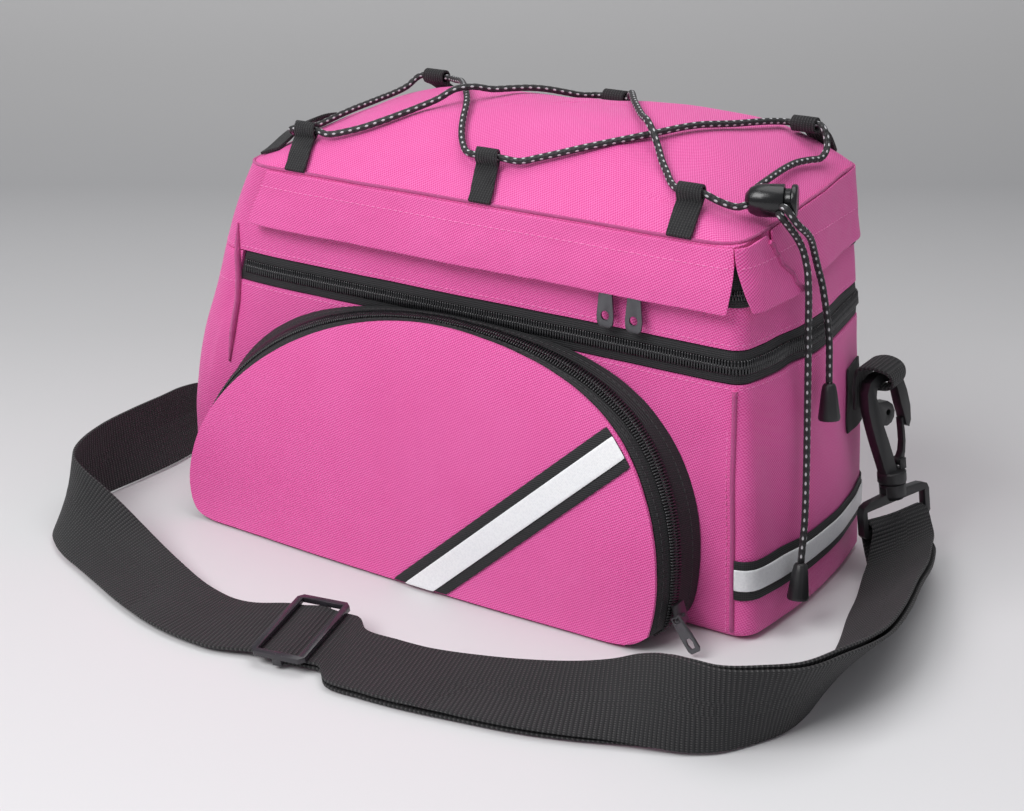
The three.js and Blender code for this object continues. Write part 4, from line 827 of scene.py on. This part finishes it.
# ---------------------------------------------------------------- shoulder strap
def strap(node, start):
    """Webbing rebuilt along its CAD sections: rounded edges, UVs along and across."""
    raw = rings_of(node, start, 4)
    first = raw[0]
    # order the first section: two corners of one face, then the other two
    a = first[0]
    d = sorted(first[1:], key=lambda p: (p - a).length)
    ring = [a, d[1], d[2], d[0]]  # d[0] is across the thickness from a
    if abs((ring[1] - ring[2]).length - (ring[0] - ring[3]).length) > 1e-3:
        ring = [a, d[2], d[1], d[0]]
    rings = [ring]
    for r in raw[1:]:
        prev = rings[-1]
        shift = centre(r) - centre(prev)
        left, out = list(r), []
        for p in prev:
            q = min(left, key=lambda w: (w - p - shift).length)
            left.remove(q)
            out.append(q)
        rings.append(out)
    # denser stations along a smooth line
    lines = [[r[k] for r in rings] for k in range(4)]
    mid = [centre(r) for r in rings]
    seg = [0.0]
    for p, q in zip(mid[:-1], mid[1:]):
        seg.append(seg[-1] + (q - p).length)
    total, n = seg[-1], int(seg[-1] / 0.003)
    dense = []
    for i in range(n + 1):
        s = total * i / n
        j = min(max(np.searchsorted(seg, s) - 1, 0), len(seg) - 2)
        t = (s - seg[j]) / max(seg[j + 1] - seg[j], 1e-9)
        row = []
        for k in range(4):
            L = lines[k]
            p0, p1, p2, p3 = L[max(j - 1, 0)], L[j], L[j + 1], L[min(j + 2, len(L) - 1)]
            d = max(seg[j + 1] - seg[j], 1e-9)
            m1 = (p2 - p0) / max(seg[j + 1] - seg[max(j - 1, 0)], 1e-9) * d
            m2 = (p3 - p1) / max(seg[min(j + 2, len(L) - 1)] - seg[j], 1e-9) * d
            h = (2 * t ** 3 - 3 * t * t + 1) * p1 + (t ** 3 - 2 * t * t + t) * m1 + (-2 * t ** 3 + 3 * t * t) * p2 + (t ** 3 - t * t) * m2
            row.append(h)
        dense.append((s, row))
    cols = 14
    profile = []  # across 0..1, through -1..1
    for i in range(cols + 1):
        x = i / cols
        profile.append((x, 1.0))
    profile[0], profile[-1] = (0.012, 0.86), (0.988, 0.86)
    profile = profile + [(1.0, 0.0)] + [(x, -h) for x, h in reversed(profile)] + [(0.0, 0.0)]
    bm = bmesh.new()
    uv = bm.loops.layers.uv.new("UVMap")
    grid = []
    for s, (c0, c1, c2, c3) in dense:
        row = []
        for x, h in profile:
            a, b = c0.lerp(c1, x), c3.lerp(c2, x)
            k = (1 + h) / 2
            p = b.lerp(a, k)
            lip = 0.00016 * math.cos(min(1, abs(x - 0.5) * 2 / 0.96) * math.pi * 0.5) if abs(h) > 0.9 else 0
            wob = 0.0004 * noise.noise(p * 30)
            row.append(bm.verts.new(p + (a - b).normalized() * (-h * lip)))
        grid.append((s, row))
    m = len(profile)
    for (s0, r0), (s1, r1) in zip(grid[:-1], grid[1:]):
        for k in range(m):
            l = (k + 1) % m
            f = bm.faces.new((r0[k], r0[l], r1[l], r1[k]))
            f.smooth = True
            va, vb = profile[k][0] * 0.042, profile[l][0] * 0.042
            for loop, q in zip(f.loops, ((s0, va), (s0, vb), (s1, vb), (s1, va))):
                loop[uv].uv = q
    bm.faces.new([v for v in reversed(grid[0][1])])
    bm.faces.new(grid[-1][1])
    bmesh.ops.recalc_face_normals(bm, faces=bm.faces)
    o = new_object(node + "_webbing", bm)
    smooth_shade(o, math.radians(55))
    piece(o, "bag", "black_webbing", WEBBING, node)
    return o, dense


BC, BW = V((3.2, -191.6, 9.4)) * MM, V((-0.155, 0.975, 0.14)).normalized()
BU = V((0.998, 0.05, 0.012))
BU = (BU - BW * BU.dot(BW)).normalized()
BN = BU.cross(BW)
strap_r, dense_r = strap("strap_right", BC + BU * (-0.0132) + BN * (-0.0014))
strap_l, dense_l = strap("strap_left", BC + BU * (-0.0138) + BN * (-0.0014))

# ---------------------------------------------------------------- stitching, coils and hems
surface = tree(body, lid, band)
lid_tree, band_tree, body_tree = tree(lid), tree(band), tree(body)
flap_tree = tree(*flaps.values())
tape_tree = tree(tape)


def add_stitches(name, runs, material_, slot, **kw):
    for i, run in enumerate(runs):
        o = stitches(f"{name}_{i + 1}", run, **kw)
        piece(o, "bag", slot, material_)


ALL_BUT_LEFT = ("front", "corner_right", "right", "corner_back_right", "back", "corner_back_left", "corner_left")
add_stitches("stitch_over_zip", trace(lid_tree, 0.1535), PINK_THREAD, "pink_cloth", pitch=3.5)
add_stitches("stitch_under_zip", trace(body_tree, 0.1318), PINK_THREAD, "pink_cloth", pitch=3.5)
for f, o in flaps.items():
    ft = tree(o)
    add_stitches("stitch_flap_" + f, trace(ft, 0.1912), PINK_THREAD, "pink_cloth", pitch=3.5)


def coil(name, run, width=7.4, pitch=1.5):
    """Zip teeth: two rows of rounded bars that meet in the middle."""
    pts = [p for p, _ in run]
    res = resample(pts, pitch * MM / 2)
    T = frames(res)
    P = np.array([tuple(p) for p in pts])
    places = []
    for i, (q, t) in enumerate(zip(res, T)):
        j = int(np.argmin(((P - np.array(q)) ** 2).sum(1)))
        n = run[j][1]
        n = (n - t * n.dot(t)).normalized()
        s = n.cross(t)
        k = 1 if i % 2 else -1
        places.append((q + s * (k * width * MM * 0.2), s * k, n))
    w, a, h = 0.54 * MM, width * MM * 0.31, 1.2 * MM
    shape = [
        [(-a, -w * 0.8, -0.1 * MM), (-a, -w * 0.6, h * 0.55), (-a, 0, h * 0.75), (-a, w * 0.6, h * 0.55), (-a, w * 0.8, -0.1 * MM)],
        [(-a * 0.6, -w, -0.1 * MM), (-a * 0.6, -w * 0.75, h * 0.8), (-a * 0.6, 0, h), (-a * 0.6, w * 0.75, h * 0.8), (-a * 0.6, w, -0.1 * MM)],
        [(a * 0.7, -w, -0.1 * MM), (a * 0.7, -w * 0.75, h * 0.8), (a * 0.7, 0, h), (a * 0.7, w * 0.75, h * 0.8), (a * 0.7, w, -0.1 * MM)],
        [(a, -w * 0.7, -0.1 * MM), (a, -w * 0.5, h * 0.4), (a, 0, h * 0.55), (a, w * 0.5, h * 0.4), (a, w * 0.7, -0.1 * MM)],
    ]
    return piece(bars(name, places, shape), "bag", "zip_tape", COIL)


for i, run in enumerate(trace(band_tree, 0.1425)):
    coil(f"main_zip_coil_{i + 1}", run)
upper = trace(tape_tree, 0.178, wanted=("front", "corner_right", "right"))
for i, run in enumerate(upper):
    coil(f"lid_zip_coil_{i + 1}", run, width=5.0, pitch=1.3)

# seam where the lid's top panel meets its wall
seam_z = lambda at, d: 0.207 + 0.095 * (at.y + d.y * 0.02)
for i, run in enumerate(trace(lid_tree, seam_z)):
    pts = resample([p + n * 0.0002 for p, n in run], 0.004, closed=len(run) > 150)
    o = tube(f"lid_seam_{i + 1}", pts, 0.0009, 10, closed=len(run) > 150)
    piece(o, "bag", "pink_cloth", PINK)

# ---------------------------------------------------------------- pocket's hem, coil and stitches
POCKET = [
    # faceX, faceZ, footX, footZ (mm)
    [-139, 1.5, -145, 1.5], [-147, 7, -153, 7], [-152, 22, -158, 22], [-149.5, 42, -157, 44], [-141.5, 60, -151, 64], [-128, 78, -139, 84],
    [-110, 95, -122, 102], [-89, 110, -101, 117], [-66, 122, -76, 128], [-40, 131.5, -46, 135.5], [-14, 137, -16, 139.2], [12, 139, 13, 140.5],
    [38, 137.2, 42, 139.6], [64, 133, 72, 137.5], [86, 126.5, 98, 131.5], [104, 118, 119, 121.5], [118.5, 107.5, 134, 109], [130.5, 94, 146, 93],
    [140, 77, 153.5, 76], [146.5, 60, 157.5, 58], [150, 42, 158.5, 40], [151.5, 26, 157.5, 24], [149.5, 10, 154.5, 9.5], [139, 1.5, 144, 1.5],
]


def pocket_y(z):
    return -69.5 - (37 - 0.165 * z)


def pocket_front(x, z):
    u, w = x / 152, (z - 60) / 80
    s = min(1, math.sqrt(u * u + w * w * 0.9))
    return pocket_y(z) - 4 * (1 - s ** 3)


def gusset_line(t, step=0.003):
    pts = []
    for fx, fz, gx, gz in POCKET:
        x, z = gx + (fx - gx) * t, gz + (fz - gz) * t
        y = -69.85 + (pocket_y(fz) + 69.85) * t
        pts.append(V((x, y, z)) * MM)
    return curve_points(pts, step)


gusset_tree, face_tree = tree(gusset), tree(pocket_face)


def on_gusset(t, keep_z=0.004):
    run = []
    for p in gusset_line(t):
        if p.z < keep_z:
            continue
        c = V((0.0, p.y, 0.035))
        d = (p - c).normalized()
        hit = gusset_tree.ray_cast(p + d * 0.03, -d, 0.06)
        if hit[0] is not None:
            n = hit[1] if hit[1].dot(d) > 0 else -hit[1]
            run.append((hit[0], n))
    return run


coil("pocket_zip_coil", on_gusset(0.58), width=7.4)
piece(stitches("stitch_gusset_front", on_gusset(0.86), pitch=3.4), "bag", "zip_tape", BLACK_THREAD)
piece(stitches("stitch_gusset_back", on_gusset(0.18), pitch=3.4), "bag", "zip_tape", BLACK_THREAD)


# ---------------------------------------------------------------- upright seams and the corner flap's hem
def upright(trees, xz, step=0.003):
    """Points on the front at (x, z) along a line."""
    out = []
    for p in resample([V((x, 0, z)) * MM for x, z in xz], step):
        hits = [h for h in (b.ray_cast(V((p.x, -0.3, p.z)), V((0, 1, 0)), 0.3) for b in trees) if h[0] is not None]
        if hits:
            h = min(hits, key=lambda q: q[0].y)
            out.append((h[0], h[1] if h[1].y < 0 else -h[1]))
    return out


right_seam = upright([body_tree], [(171.4, 131), (173.5, 80), (176.7, 5)])
ridge = tube("seam_front_right", [p + n * 0.0003 for p, n in right_seam], 0.0012, 10)
piece(ridge, "bag", "pink_cloth", PINK)
piece(stitches("stitch_seam_front_right", [(p - V((0.0034, 0, 0)), n) for p, n in right_seam], pitch=3.6, lift=0.0002), "bag", "pink_cloth", PINK_THREAD)
start_x = min(v.co.x for v in band.data.vertices if v.co.y < -0.055) / MM
left_seam = upright([body_tree, lid_tree, band_tree], [(start_x - 9, 84), (start_x - 5, 104), (start_x - 1.5, 122), (start_x - 0.6, 134), (start_x - 0.4, 152), (start_x + 0.6, 166)])
fold = tube("seam_front_left", [p + n * 0.0005 for p, n in left_seam], 0.0019, 12, taper=lambda k: min(1.0, 0.35 + 3 * k, 0.25 + 4 * (1 - k)))
piece(fold, "bag", "pink_cloth", PINK)

hem = []
corner_tree = tree(flaps["corner"])
for z in np.linspace(0.172, 0.2015, 12):
    runs = trace(corner_tree, float(z))
    if runs:
        hem.append(runs[-1][-1])
if len(hem) > 3:
    line = curve_points([p + n * 0.0002 for p, n in hem], 0.002)
    piece(tube("hem_flap_corner", line, 0.0012, 10), "bag", "pink_cloth", PINK)
